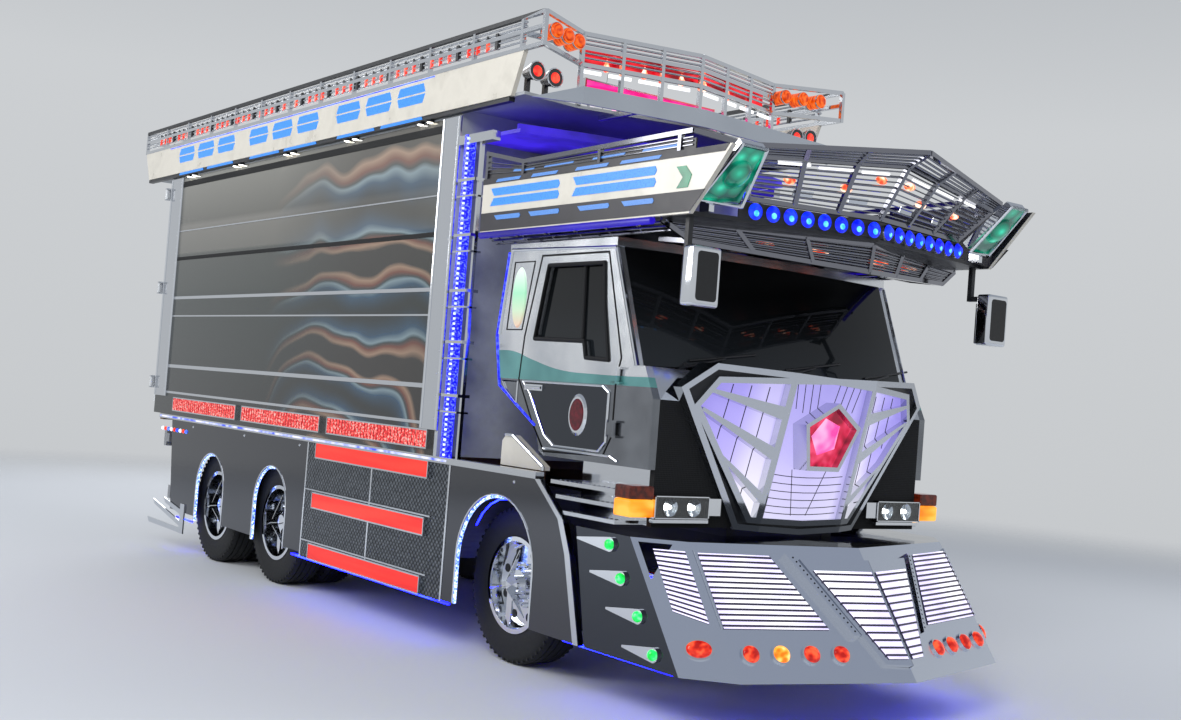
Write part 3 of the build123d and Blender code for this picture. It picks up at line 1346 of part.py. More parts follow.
# Lit louvres on the bumper: three panels a side, each a tray with slats across it
LOUVRE_TRAY_T = 6
LOUVRE_SLAT_T = 10
LOUVRE_SLAT_H = 9
LOUVRES = (
    # facet, slats, lift, front view corners: top outer, top inner, bottom inner, bottom outer
    (CORNER_FACET, 13, 0, ((1168, 894), (1048, 895), (1056, 556), (1176, 600))),
    (FRONT_FACET, 14, 0, ((997, 892), (584, 888), (398, 538), (1004, 540))),
    (FRONT_FACET, 12, NOSE_WEDGE_T, ((372, 826), (16, 826), (16, 410), (135, 410))),
)
with BuildPart() as bumper_louvres:
    for side in (1, -1):
        for facet_ends, slats, lift, corners in LOUVRES:
            facet = bumper_facet(side, *facet_ends).offset(lift)
            facet_panel(facet, side, corners, LOUVRE_TRAY_T)
            top_out, top_in, low_in, low_out = [Vector(x, 0, z) for x, z in corners]
            for step in range(slats):
                share = (step + 0.5) / slats
                outer = top_out + (low_out - top_out) * share
                inner = top_in + (low_in - top_in) * share
                slat = [
                    (outer.X, outer.Z + LOUVRE_SLAT_H / 2),
                    (inner.X, inner.Z + LOUVRE_SLAT_H / 2),
                    (inner.X, inner.Z - LOUVRE_SLAT_H / 2),
                    (outer.X, outer.Z - LOUVRE_SLAT_H / 2),
                ]
                facet_panel(facet, side, slat, LOUVRE_SLAT_T)
save(bumper_louvres, "bumper_louvres")

# Bumper lamps: round ones low on the front, an oval at the corner, teardrops on the side
LAMP_RING_T = 12
LAMP_DOME_T = 14
ROUND_LAMP_R = 56
ROUND_DOME_R = 47
ROUND_DOME_TIP_R = 28
ROUND_LAMP_XS = (387, 561, 735, 908)
ROUND_LAMP_Z = 424
OVAL_LAMP = (1128, 432)
OVAL_HALF = (78, 56)
TEARDROPS = (
    # head station, tail station, z
    (-1177, -880, 884),
    (-1294, -1019, 718),
    (-1460, -1185, 544),
    (-1604, -1346, 371),
)
TEARDROP_R = 40
TEARDROP_TIP = 6
TEARDROP_T = 16
TEARDROP_LENS_R = 30
TEARDROP_LENS_TIP_R = 14
with BuildPart() as bumper_lamps:
    for side in (1, -1):
        front = bumper_facet(side, *FRONT_FACET)
        for x in ROUND_LAMP_XS:
            spot = facet_plane_at(front, side * x, ROUND_LAMP_Z)
            with Locations(spot):
                Cylinder(ROUND_LAMP_R, LAMP_RING_T, align=ON_FACE)
            with Locations(spot.offset(LAMP_RING_T)):
                Cone(ROUND_DOME_R, ROUND_DOME_TIP_R, LAMP_DOME_T, align=ON_FACE)
        corner = facet_plane_at(bumper_facet(side, *CORNER_FACET), side * OVAL_LAMP[0], OVAL_LAMP[1])
        for lift, thick, margin in ((0, LAMP_RING_T, 0), (LAMP_RING_T, LAMP_DOME_T / 2, 12)):
            with BuildSketch(corner.offset(lift)) as oval:
                Ellipse(OVAL_HALF[0] - margin, OVAL_HALF[1] - margin)
            extrude(oval.sketch, amount=thick)
        for head, tail, z in TEARDROPS:
            flat = Plane(origin=(side * BUMPER_X, at(head), z), x_dir=(0, 1, 0), z_dir=(side, 0, 0))
            with BuildSketch(flat) as drop:
                Circle(TEARDROP_R)
                with BuildLine():
                    Polyline(
                        (0, TEARDROP_R),
                        (tail - head, TEARDROP_TIP),
                        (tail - head, -TEARDROP_TIP),
                        (0, -TEARDROP_R),
                        close=True,
                    )
                make_face()
            extrude(drop.sketch, amount=TEARDROP_T)
            with Locations(flat.offset(TEARDROP_T)):
                Cone(TEARDROP_LENS_R, TEARDROP_LENS_TIP_R, TEARDROP_T, align=ON_FACE)
save(bumper_lamps, "bumper_lamps")

# Visor deck: the platform over the windscreen with its signboards
DECK_NOSE_AT = -1800
DECK_CORNER_X = 950
DECK_CORNER_AT = -1640
DECK_FLOOR_T = 25
with BuildPart() as visor_deck:
    deck_in = DECK_X - DECK_BOARD_T
    flat_plate(
        [
            (deck_in, at(DECK_TAIL_AT)),
            (-deck_in, at(DECK_TAIL_AT)),
            (-deck_in, at(-1560)),
            (-DECK_CORNER_X, at(DECK_CORNER_AT)),
            (0, at(DECK_NOSE_AT)),
            (DECK_CORNER_X, at(DECK_CORNER_AT)),
            (deck_in, at(-1560)),
        ],
        DECK_BOTTOM,
        DECK_BOTTOM + DECK_FLOOR_T,
    )
    for side in (1, -1):
        low, high = sorted((side * deck_in, side * DECK_X))
        side_plate(
            stations(
                [
                    (DECK_TAIL_AT, DECK_BOTTOM),
                    (DECK_TAIL_AT, DECK_TOP),
                    (-1920, DECK_TOP),
                    (-1620, DECK_BOTTOM),
                ]
            ),
            low,
            high,
        )
        for x in (300, 900):
            span(
                (side * x - 30, side * x + 30),
                (at(-500), at(-440)),
                (CAB_ROOF_Z, DECK_BOTTOM),
            )
            span((side * x - 30, side * x + 30), (at(40), at(100)), (CAB_ROOF_Z, DECK_BOTTOM))
save(visor_deck, "visor_deck")

# Visor cage: rails over the deck's nose and along its sides, and the grille under it
CAGE_RAILS = (
    # end x, end station, end height over the deck, nose station, nose height over the deck
    (1063, -1800, 371, -2124, 474),
    (1010, -1780, 321, -1984, 410),
    (868, -1650, 129, -1800, 131),
)
CAGE_STEPS = 5
CAGE_POST_SHARES = (0, 0.33, 0.66, 1)
VISOR_ROD_R = 7
GRILLE_RAILS = (
    # end x, end station, end drop under the deck, nose station, nose drop under the deck
    (1215, -1360, 13, -1764, 13),
    (1040, -1410, 110, -1745, 165),
    (1040, -1150, 85, -1500, 120),
)
GRILLE_STEPS = 5
SIDE_CAGE = ((400, 506), (-30, 416), (-1600, 436))
SIDE_POSTS = ((380, 501), (-30, 421), (-800, 426), (-1500, 436))


def rail_point(rail, share):
    """Point of a cage rail at a share of its run from the nose."""
    end_x, end_at, end_lift, nose_at, nose_lift = rail
    return (
        end_x * share,
        at(nose_at + (end_at - nose_at) * share),
        DECK_BOTTOM + nose_lift + (end_lift - nose_lift) * share,
    )


def between(first, second, share):
    """Rail that lies at a share of the way from one cage rail to the next."""
    return tuple(a + (b - a) * share for a, b in zip(first, second))


hung = [(x, end_at, -end_drop, nose_at, -nose_drop) for x, end_at, end_drop, nose_at, nose_drop in GRILLE_RAILS]
with BuildPart() as visor_cage:
    for rails, steps in ((CAGE_RAILS, CAGE_STEPS), (hung, GRILLE_STEPS)):
        for rail in rails:
            bar(rail_point(rail, 0), rail_point(rail, 1))
        for first, second in zip(rails, rails[1:]):
            for step in range(1, steps):
                thin = between(first, second, step / steps)
                rod(rail_point(thin, 0), rail_point(thin, 1), VISOR_ROD_R)
            for share in CAGE_POST_SHARES:
                bar(rail_point(first, share), rail_point(second, share))
    side_x = DECK_X - DECK_BOARD_T / 2
    top_line = [(side_x, at(station), DECK_BOTTOM + lift) for station, lift in SIDE_CAGE]
    for start, end in zip(top_line, [*top_line[1:], rail_point(CAGE_RAILS[0], 1)]):
        bar(start, end)
    for station, lift in SIDE_POSTS:
        bar((side_x, at(station), DECK_TOP), (side_x, at(station), DECK_BOTTOM + lift))
    mirror(about=Plane.YZ)
save(visor_cage, "visor_cage")

# Lamps of the visor: leaning green corner lenses on feet, and the row of round blue ones
CORNER_LAMP = ((1172, -1912, 341), (1012, -1920, 339), (948, -1689, 70), (1195, -1635, 77))
CORNER_LAMP_T = 50
LAMP_FOOT_X = (1095, 1130)
ROW_RUN = ((0, -1806), (925, -1644))
ROW_BOARD_T = 8
ROW_LIFT = (DECK_FLOOR_T, 112)
ROW_LAMP_R = 45
ROW_LAMP_TIP_R = 22
ROW_LAMP_L = 46
ROW_LAMP_LIFT = 62
ROW_PITCH = 113
ROW_COUNT = 8
deck_top_face = DECK_BOTTOM + DECK_FLOOR_T
with BuildPart() as corner_lamps:
    face_plate([(x, at(station), DECK_BOTTOM + lift) for x, station, lift in CORNER_LAMP], CORNER_LAMP_T)
    span(
        LAMP_FOOT_X,
        (at(-1640), at(-1565)),
        (deck_top_face, DECK_BOTTOM + CORNER_LAMP[3][2] + 14),
    )
    mirror(about=Plane.YZ)
    (nose_x, nose_at), (end_x, end_at) = ROW_RUN
    for side in (1, -1):
        start = Vector(0, at(nose_at), DECK_BOTTOM + ROW_LIFT[0])
        run = Vector(side * end_x, at(end_at), DECK_BOTTOM + ROW_LIFT[0]) - start
        ahead = Vector(0, 0, 1).cross(run).normalized() * -side
        back = start - ahead * ROW_BOARD_T
        flat_plate(
            [(v.X, v.Y) for v in (start, start + run, back + run, back)],
            DECK_BOTTOM + ROW_LIFT[0],
            DECK_BOTTOM + ROW_LIFT[1],
        )
        for step in range(ROW_COUNT):
            spot = start + run.normalized() * (ROW_PITCH * (step + 0.5))
            face = Plane(origin=(spot.X, spot.Y, DECK_BOTTOM + ROW_LAMP_LIFT), z_dir=ahead)
            with Locations(face):
                Cylinder(ROW_LAMP_R, ROW_LAMP_L / 2, align=ON_FACE)
            with Locations(face.offset(ROW_LAMP_L / 2)):
                Cone(ROW_LAMP_R, ROW_LAMP_TIP_R, ROW_LAMP_L / 2, align=ON_FACE)
save(corner_lamps, "corner_lamps")

# Mirrors hung from the visor deck on short arms
MIRROR_X = (1100, 1290)
MIRROR_AT = (-1740, -1640)
MIRROR_Z = (DECK_BOTTOM - 484, DECK_BOTTOM - 170)
MIRROR_ARM_X = 1170
MIRROR_ARM_AT = -1525
with BuildPart() as mirrors:
    for side in (1, -1):
        span(
            sorted((side * MIRROR_X[0], side * MIRROR_X[1])),
            [at(s) for s in MIRROR_AT],
            MIRROR_Z,
        )
        arm = sorted((side * (MIRROR_ARM_X - 15), side * (MIRROR_ARM_X + 15)))
        span(arm, (at(MIRROR_AT[1]), at(MIRROR_ARM_AT)), (MIRROR_Z[1] - 40, MIRROR_Z[1] - 10))
        span(
            arm,
            (at(MIRROR_ARM_AT) - 30, at(MIRROR_ARM_AT)),
            (MIRROR_Z[1] - 40, DECK_BOTTOM),
        )
save(mirrors, "mirrors")

# Lit columns in the gap between the box and the cab, on the side rails
COLUMN_AT = 630
COLUMN_R = 38
COLUMN_X = 1232
THIN_POST_AT = 480
COLUMN_TOP = 3300
COLLARS = (1610, 1954, 2285, 2643, 3001)
with BuildPart() as gap_columns:
    for side in (1, -1):
        x = side * COLUMN_X
        rod((x, at(COLUMN_AT), SIDE_RAIL_TOP), (x, at(COLUMN_AT), COLUMN_TOP), COLUMN_R)
        bar(
            (x, at(THIN_POST_AT), SIDE_RAIL_TOP),
            (x, at(THIN_POST_AT), COLUMN_TOP),
            24,
        )
        for z in COLLARS:
            span((x - 45, x + 45), (at(THIN_POST_AT) - 12, at(COLUMN_AT) + 45), (z - 10, z + 10))
        span((x - 30, x + 30), (at(320), at(BOX_FRONT_AT)), (COLUMN_TOP - 60, COLUMN_TOP))
save(gap_columns, "gap_columns")
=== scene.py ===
import bmesh
import bpy
import math
from mathutils import Matrix, Vector


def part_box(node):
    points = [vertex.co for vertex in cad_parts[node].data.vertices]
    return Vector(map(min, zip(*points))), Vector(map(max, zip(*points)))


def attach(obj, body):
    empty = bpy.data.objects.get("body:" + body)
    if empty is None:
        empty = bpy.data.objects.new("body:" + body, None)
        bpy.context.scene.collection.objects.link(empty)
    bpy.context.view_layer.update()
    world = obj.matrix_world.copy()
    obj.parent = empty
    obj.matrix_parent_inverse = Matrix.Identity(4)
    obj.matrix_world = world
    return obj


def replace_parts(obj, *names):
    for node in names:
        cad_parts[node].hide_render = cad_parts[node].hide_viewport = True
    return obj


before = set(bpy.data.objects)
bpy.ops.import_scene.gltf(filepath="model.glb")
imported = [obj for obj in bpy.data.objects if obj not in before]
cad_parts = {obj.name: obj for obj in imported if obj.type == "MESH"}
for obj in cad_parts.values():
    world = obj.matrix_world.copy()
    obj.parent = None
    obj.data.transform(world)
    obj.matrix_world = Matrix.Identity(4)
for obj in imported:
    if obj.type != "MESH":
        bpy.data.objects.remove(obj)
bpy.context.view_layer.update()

scene = bpy.context.scene
scene.view_settings.view_transform = "Standard"

# Camera: at eye height, in front of the truck's own right corner, with the photograph's slight
# lean. It is placed once, in the frame's metres.
CAMERA_AT = Vector((-5.869, -9.3005, 1.6635))
CAMERA_TURN = math.radians(-36.703)
CAMERA_TILT = math.radians(1.558)
CAMERA_LEAN = math.radians(4.400)
LENS_MM = 42.2
SENSOR_MM = 36
UP = Vector((0, 0, 1))
flat = math.cos(CAMERA_TILT)
forward = Vector((-math.sin(CAMERA_TURN) * flat, math.cos(CAMERA_TURN) * flat, math.sin(CAMERA_TILT)))
level = forward.cross(UP).normalized()
upright = level.cross(forward)
across = level * math.cos(CAMERA_LEAN) + upright * math.sin(CAMERA_LEAN)
above = upright * math.cos(CAMERA_LEAN) - level * math.sin(CAMERA_LEAN)
lens = bpy.data.cameras.new("camera")
lens.sensor_width = SENSOR_MM
lens.lens = LENS_MM
lens.clip_end = 200
camera = bpy.data.objects.new("camera", lens)
facing = Matrix((across, above, -forward)).transposed().to_4x4()
camera.matrix_world = Matrix.Translation(CAMERA_AT) @ facing
scene.collection.objects.link(camera)
scene.camera = camera


# Studio: a pale matt floor that fades out into a pale sky, with four large soft lamps. The sky
# is darker overhead, so that polished metal shows a gradient and not one flat white.
def colour(code):
    """Hex sRGB code as linear red, green, blue and alpha."""
    parts = [int(code[i : i + 2], 16) / 255 for i in (1, 3, 5)]
    linear = [c / 12.92 if c <= 0.04045 else ((c + 0.055) / 1.055) ** 2.4 for c in parts]
    return (*linear, 1.0)


def join(node, inputs):
    """Give a node's inputs a value, a hex colour, an output, or another node's first output."""
    for name, value in inputs.items():
        if isinstance(value, bpy.types.Node):
            value = value.outputs[0]
        if isinstance(value, bpy.types.NodeSocket):
            node.id_data.links.new(value, node.inputs[name])
        else:
            node.inputs[name].default_value = colour(value) if isinstance(value, str) else value


def add(tree, kind, inputs=None, stops=(), **settings):
    """Add a node with its settings, its inputs and, on a colour ramp, (position, hex code) stops."""
    made = tree.nodes.new(kind)
    for name, value in settings.items():
        setattr(made, name, value)
    join(made, inputs or {})
    for count, (place, code) in enumerate(stops):
        slots = made.color_ramp.elements
        stop = slots[count] if count < 2 else slots.new(place)
        stop.position = place
        stop.color = colour(code)
    return made


def finish(name, sockets):
    """New material whose uniform values sit on the shader's own sockets."""
    made = bpy.data.materials.new(name)
    made.use_nodes = True
    shader = made.node_tree.nodes["Principled BSDF"]
    join(shader, sockets)
    return made, made.node_tree, shader


FLOOR_REACH = 60
FLOOR_FADE = (9.0, 17.0)
SKY_STRENGTH = 0.9
SKY_STOPS = (
    (0.0, "#A9ACB1"),
    (0.49, "#D2D5D8"),
    (0.6, "#D6D9DC"),
    (0.7, "#B4B9BF"),
    (0.8, "#A4AAB4"),
    (1.0, "#A2A9B6"),
)
floor_paint, tree, shader = finish("matt studio floor", {"Base Color": "#C9CCD0", "Roughness": 0.85})
way = add(tree, "ShaderNodeTexCoord")
reach = add(tree, "ShaderNodeVectorMath", {0: way.outputs["Object"]}, operation="LENGTH")
span = {"Value": reach.outputs["Value"], "From Min": FLOOR_FADE[0], "From Max": FLOOR_FADE[1]}
fade = add(tree, "ShaderNodeMapRange", span, interpolation_type="SMOOTHSTEP")
clear = add(tree, "ShaderNodeBsdfTransparent")
edge = add(tree, "ShaderNodeMixShader", {"Fac": fade, 1: shader, 2: clear})
join(tree.nodes["Material Output"], {"Surface": edge})
bm = bmesh.new()
bmesh.ops.create_grid(bm, x_segments=1, y_segments=1, size=FLOOR_REACH)
floor_mesh = bpy.data.meshes.new("floor")
bm.to_mesh(floor_mesh)
bm.free()
floor_mesh.materials.append(floor_paint)
floor = bpy.data.objects.new("floor", floor_mesh)
scene.collection.objects.link(floor)

world = bpy.data.worlds.new("studio sky")
world.use_nodes = True
tree = world.node_tree
way = add(tree, "ShaderNodeTexCoord")
height = add(tree, "ShaderNodeSeparateXYZ", {"Vector": way.outputs["Generated"]})
lift = add(tree, "ShaderNodeMapRange", {"Value": height.outputs["Z"], "From Min": -1.0, "From Max": 1.0})
tones = add(tree, "ShaderNodeValToRGB", {"Fac": lift}, SKY_STOPS)
join(tree.nodes["Background"], {"Color": tones, "Strength": SKY_STRENGTH})
scene.world = world

LAMPS = (
    # name, place, aimed at, size, watts, seen in polished metal
    ("key lamp", (-9.0, -9.0, 8.0), (0.0, -1.0, 1.6), 5.0, 900, False),
    ("side lamp", (-10.0, 4.0, 6.0), (0.0, 1.0, 1.8), 6.0, 600, True),
    ("far lamp", (9.0, -6.0, 7.0), (0.0, -1.0, 1.6), 6.0, 450, False),
    ("back lamp", (3.0, 12.0, 7.0), (0.0, 2.0, 1.8), 6.0, 450, True),
)
for name, place, target, size, watts, mirrored in LAMPS:
    light = bpy.data.lights.new(name, "AREA")
    light.size = size
    light.energy = watts
    lamp = bpy.data.objects.new(name, light)
    lamp.visible_glossy = mirrored
    lamp.location = place
    lamp.rotation_euler = (Vector(target) - Vector(place)).to_track_quat("-Z", "Y").to_euler()
    scene.collection.objects.link(lamp)


# Chassis frame and springs: welded box rails in satin black chassis paint, sprayed over the
# rolled steel, so the skin is slightly pebbled and road dust dulls it in patches.
def coat(name, sockets, codes, rough, scale, bump=0.0, stretch=(1, 1, 1)):
    """Paint, rubber or raw metal: cloudy colour, roughness over a range, and a fine relief."""
    made, tree, shader = finish(name, sockets)
    way = add(tree, "ShaderNodeTexCoord")
    drawn = add(tree, "ShaderNodeMapping", {"Vector": way.outputs["Object"], "Scale": stretch})
    grain = {"Vector": drawn, "Scale": scale, "Detail": 4.0, "Roughness": 0.6}
    cloud = add(tree, "ShaderNodeTexNoise", grain)
    stops = [(0.3 + 0.4 * i / max(len(codes) - 1, 1), code) for i, code in enumerate(codes)]
    span = {"Value": cloud, "From Min": 0.3, "From Max": 0.7, "To Min": rough[0], "To Max": rough[1]}
    tones = add(tree, "ShaderNodeValToRGB", {"Fac": cloud}, stops)
    join(shader, {"Base Color": tones, "Roughness": add(tree, "ShaderNodeMapRange", span)})
    if bump:
        relief = add(tree, "ShaderNodeBump", {"Height": cloud, "Strength": 0.4, "Distance": bump})
        join(shader, {"Normal": relief})
    return made


def dress(material, *nodes):
    """Give CAD nodes their finish."""
    for node in nodes:
        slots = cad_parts[node].data.materials
        slots.clear()
        slots.append(material)


def dress_faces(node, finishes, choose):
    """Give a CAD node several finishes, picked by each face's middle and normal."""
    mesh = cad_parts[node].data
    mesh.materials.clear()
    for each in finishes:
        mesh.materials.append(each)
    for face in mesh.polygons:
        face.material_index = choose(face.center, face.normal)


SATIN = {"Specular IOR Level": 0.4}
chassis_paint = coat("chassis enamel", SATIN, ("#16171A", "#222327"), (0.42, 0.6), 35, 0.0004)
dress(chassis_paint, "chassis_frame", "leaf_springs", "cab_floor")

# Axles, knuckles and engine: sand-cast iron, left raw under a thin grey primer. The sand's
# grain is drawn as coarse as 8 mm, so that it shows; the skin scatters light and never shines.
CASTINGS = ("engine_block", "rear_axles", "front_axle", "knuckle_left", "knuckle_right", "tie_rod")
cast_codes = ("#3A3B3D", "#55575A")
dress(coat("primed cast iron", {"Metallic": 0.35}, cast_codes, (0.6, 0.78), 120, 0.0012), *CASTINGS)

# Tanks: rolled aluminium with a mill finish, dulled by weather, hung inside the skirts. The
# rolling leaves faint level bands.
mill_codes = ("#8F9398", "#A7ABB0")
ROLLED = (1, 0.2, 6)
dress(coat("mill-finish aluminium", {"Metallic": 1.0}, mill_codes, (0.34, 0.5), 9, 0.0, ROLLED), "tanks")


# Tyres: vulcanised rubber with carbon black, greyed in patches by dust. Each is turned with
# four rain grooves, and its shoulders carry moulded lugs.
def at(station):
    """Y of a place measured from the front axle, in metres."""
    return station - 2.2315


def piece(name, bm, finishes, body="truck"):
    """Finished mesh at the origin that rides on a body, with the given finishes in its material slots."""
    mesh = bpy.data.meshes.new(name)
    bmesh.ops.recalc_face_normals(bm, faces=bm.faces[:])
    bm.to_mesh(mesh)
    bm.free()
    for each in finishes if isinstance(finishes, tuple) else [finishes]:
        mesh.materials.append(each)
    made = bpy.data.objects.new(name, mesh)
    scene.collection.objects.link(made)
    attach(made, body)
    return made


def smooth(made, angle=40):
    """Shade a piece smooth except over sharp edges."""
    made.data.shade_smooth()
    made.data.set_sharp_from_angle(angle=math.radians(angle))
    return made


def turn(bm, section, centre, steps):
    """Spin (x, radius) points about the X axis through centre, and close the ring."""
    rim = [bm.verts.new((centre[0] + x, centre[1], centre[2] + r)) for x, r in section]
    geom = rim + [bm.edges.new((a, b)) for a, b in zip(rim, rim[1:] + rim[:1])]
    bmesh.ops.spin(bm, geom=geom, cent=centre, axis=(1, 0, 0), angle=math.tau, steps=steps, use_merge=True)


def box(bm, low, high):
    """Block between two corners."""
    size = [b - a for a, b in zip(low, high)]
    middle = [(a + b) / 2 for a, b in zip(low, high)]
    place = Matrix.Translation(middle) @ Matrix.Diagonal((*size, 1))
    return bmesh.ops.create_cube(bm, size=1, matrix=place)["verts"]


SIDES = (("left", 1), ("right", -1))
AXLE_Y = {"front": at(0), "mid": at(3.25), "rear": at(4.51)}
WHEEL_Z = 0.48
TREAD_R = 0.48
GROOVE = 0.011
GROOVES = (-0.072, -0.026, 0.026, 0.072)
GROOVE_HALF = 0.006
LUGS = 56
LUG_X = 0.11
LUG_LOW = (-0.0105, -0.0085, 0.43)
LUG_HIGH = (0.0105, 0.0085, 0.4725)
TYRE_TURNS = 112
TYRES = []
for side_name, side in SIDES:
    TYRES.append((f"tyre_front_{side_name}", "front", [side * 0.935], f"wheel_front_{side_name}"))
    for axle in ("mid", "rear"):
        twins = [side * 1.045, side * 0.755]
        TYRES.append((f"tyres_{axle}_{side_name}", axle, twins, f"wheels_{axle}_{side_name}"))
flank = [(-0.103, 0.284), (-0.119, 0.32), (-0.125, 0.36), (-0.125, 0.432), (-0.121, 0.452), (-0.108, 0.472)]
tread = [(-0.094, TREAD_R)]
for x in GROOVES:
    tread += [(x - GROOVE_HALF, TREAD_R), (x - GROOVE_HALF * 0.6, TREAD_R - GROOVE)]
    tread += [(x + GROOVE_HALF * 0.6, TREAD_R - GROOVE), (x + GROOVE_HALF, TREAD_R)]
tyre_section = flank + tread + [(0.094, TREAD_R)] + [(-x, r) for x, r in reversed(flank)]
rubber_skin = {"Specular IOR Level": 0.35, "IOR": 1.52}
rubber = coat("vulcanised rubber", rubber_skin, ("#131416", "#1E1F21"), (0.68, 0.86), 60, 0.0006)
for node, axle, places, body in TYRES:
    bm = bmesh.new()
    for x in places:
        centre = Vector((x, AXLE_Y[axle], WHEEL_Z))
        turn(bm, tyre_section, centre, TYRE_TURNS)
        for shoulder in (-LUG_X, LUG_X):
            shift = Vector((shoulder, 0, 0))
            for step in range(LUGS):
                swing = Matrix.Translation(centre) @ Matrix.Rotation(math.tau * step / LUGS, 4, "X")
                lug = box(bm, shift + Vector(LUG_LOW), shift + Vector(LUG_HIGH))
                bmesh.ops.transform(bm, matrix=swing, verts=lug)
    made = piece(node.replace("tyre", "treaded_tyre"), bm, rubber, body)
    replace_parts(smooth(made, 30), node)


# Rims: pressed steel under bright chrome plate. The hub caps carry three blades, each with a
# folded fin; ten domed nuts hold each disc, whose hand holes are thin dark discs on its face:
# the drum's dark paint together with painted shade inside the wheel.
def chrome(name, tint, rough, wave=0.0, scale=3.0):
    """Plated or mirror-polished metal: a clear reflection, bent by faint hand-polished waves."""
    made, tree, shader = finish(name, {"Metallic": 1.0, "Base Color": tint})
    way = add(tree, "ShaderNodeTexCoord")
    grain = {"Vector": way.outputs["Object"], "Scale": scale, "Detail": 2.0}
    cloud = add(tree, "ShaderNodeTexNoise", grain)
    span = {"Value": cloud, "To Min": rough * 0.6, "To Max": rough * 1.5}
    join(shader, {"Roughness": add(tree, "ShaderNodeMapRange", span)})
    if wave:
        relief = add(tree, "ShaderNodeBump", {"Height": cloud, "Strength": 1.0, "Distance": wave})
        join(shader, {"Normal": relief})
    return made


def cone(bm, place, radii, depth, sides, capped=True):
    """Cone, disc or bar along the Z axis of a matrix, from its first radius to its second."""
    wide, narrow = radii
    bmesh.ops.create_cone(
        bm, cap_ends=capped, segments=sides, radius1=wide, radius2=narrow, depth=depth, matrix=place
    )


def aimed(spot, axis):
    """Matrix that moves a shape to a point and turns its Z axis along a vector."""
    return Matrix.Translation(spot) @ axis.to_track_quat("Z", "Y").to_matrix().to_4x4()


def rod(bm, start, end, radius, sides=8, tip=None):
    """Round bar between two points, tapered to tip if given."""
    start, end = Vector(start), Vector(end)
    run = end - start
    cone(bm, aimed((start + end) / 2, run), (radius, radius if tip is None else tip), run.length, sides)


def plate(bm, corners, depth):
    """Plate from a loop of points, thickened by a vector."""
    face = bm.faces.new([bm.verts.new(corner) for corner in corners])
    grown = bmesh.ops.extrude_face_region(bm, geom=[face])["geom"]
    bmesh.ops.translate(bm, vec=depth, verts=[v for v in grown if isinstance(v, bmesh.types.BMVert)])


plate_chrome = chrome("chrome plate", "#E2E5EA", 0.07)
drum_paint_and_shade = coat("brake drum enamel and painted shade", {"Metallic": 0.2}, ("#101113", "#1B1C1F"), (0.5, 0.65), 40)
DISC_X = {"front": 0.044, "mid": -0.131, "rear": -0.131}
NUTS = 10
NUT_RING = 0.125
HAND_HOLES = 8
HOLE_RING = 0.205
RIM_LIP = ((0.108, 0.268), (0.116, 0.268), (0.116, 0.276), (0.108, 0.276))
FINS = 3
FIN_RISE = 0.05
FIN_REACH = 0.235
FIN_THICK = 0.006
for node, axle, places, body in TYRES:
    side = 1 if places[0] > 0 else -1
    out = Vector((side, 0, 0))
    hub = Vector((places[0] + side * DISC_X[axle], AXLE_Y[axle], WHEEL_Z))
    rim_node = node.replace("tyre", "rim")
    dress(plate_chrome, rim_node)
    bm, holes, fins = bmesh.new(), bmesh.new(), bmesh.new()
    for step in range(NUTS):
        angle = math.tau * step / NUTS
        spot = hub + Vector((0, math.cos(angle), math.sin(angle))) * NUT_RING
        rod(bm, spot, spot + out * 0.024, 0.0165, 6)
        rod(bm, spot + out * 0.024, spot + out * 0.034, 0.0135, 10, 0.006)
    lip = [(side * x, r) for x, r in RIM_LIP]
    turn(bm, lip, Vector((places[0], AXLE_Y[axle], WHEEL_Z)), 72)
    piece(rim_node + "_nuts", bm, plate_chrome, body)
    # Each hand hole is a thin dark disc on the rim's face: the drum's own dark paint with painted shade
    # inside the wheel.
    for step in range(HAND_HOLES):
        angle = math.tau * (step + 0.5) / HAND_HOLES
        spot = hub + out * 0.001 + Vector((0, math.cos(angle), math.sin(angle))) * HOLE_RING
        rod(holes, spot, spot + out * 0.002, 0.027, 20)
    piece(rim_node + "_hand_hole_drum_and_shade", holes, drum_paint_and_shade, body)
    cap = max(abs(corner.x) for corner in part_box(rim_node))
    outline = [(cap - 0.002, 0.0), (cap + FIN_RISE, 0.03)]
    outline += [(cap + 0.004, FIN_REACH), (cap - 0.002, FIN_REACH)]
    for step in range(FINS):
        turned = Matrix.Rotation(math.tau * step / FINS + 0.3, 4, "X")
        swing = Matrix.Translation((0, AXLE_Y[axle], WHEEL_Z)) @ turned
        corners = [swing @ Vector((side * x, -FIN_THICK / 2, r)) for x, r in outline]
        plate(fins, corners, swing.to_3x3() @ Vector((0, FIN_THICK, 0)))
    piece(rim_node + "_fins", fins, plate_chrome, body)

# Box walls: boards in polished dark lacquer that mirror the surroundings. The two upper boards
# are warm grey, and airbrushed swirls of blue, rust and pale fade out over the front half.
# Inside, painted plywood lines them.
BOARD_TONES = (
    (0.0, "#0F1312"),
    (0.13, "#151A18"),
    (0.14, "#1A1F1D"),
    (0.46, "#232A27"),
    (0.47, "#2B302C"),
    (0.64, "#3A3D39"),
    (0.65, "#5C5B55"),
    (0.77, "#6A6862"),
    (0.79, "#56554F"),
    (1.0, "#77766F"),
)
BOARD_Z = (1.39, 3.44)
HAZE_STOPS = (
    (0.0, "#161B1B"),
    (0.3, "#27506E"),
    (0.46, "#8CA3AC"),
    (0.54, "#2B3B40"),
    (0.66, "#7C4130"),
    (0.8, "#B08E74"),
    (0.9, "#2A211D"),
)
HAZE_MIDDLE = -0.55
polish = {"Roughness": 0.09, "Coat Weight": 0.4, "Coat Roughness": 0.04, "IOR": 1.45}
lacquer, tree, shader = finish("polished dark lacquer", polish)
way = add(tree, "ShaderNodeTexCoord")
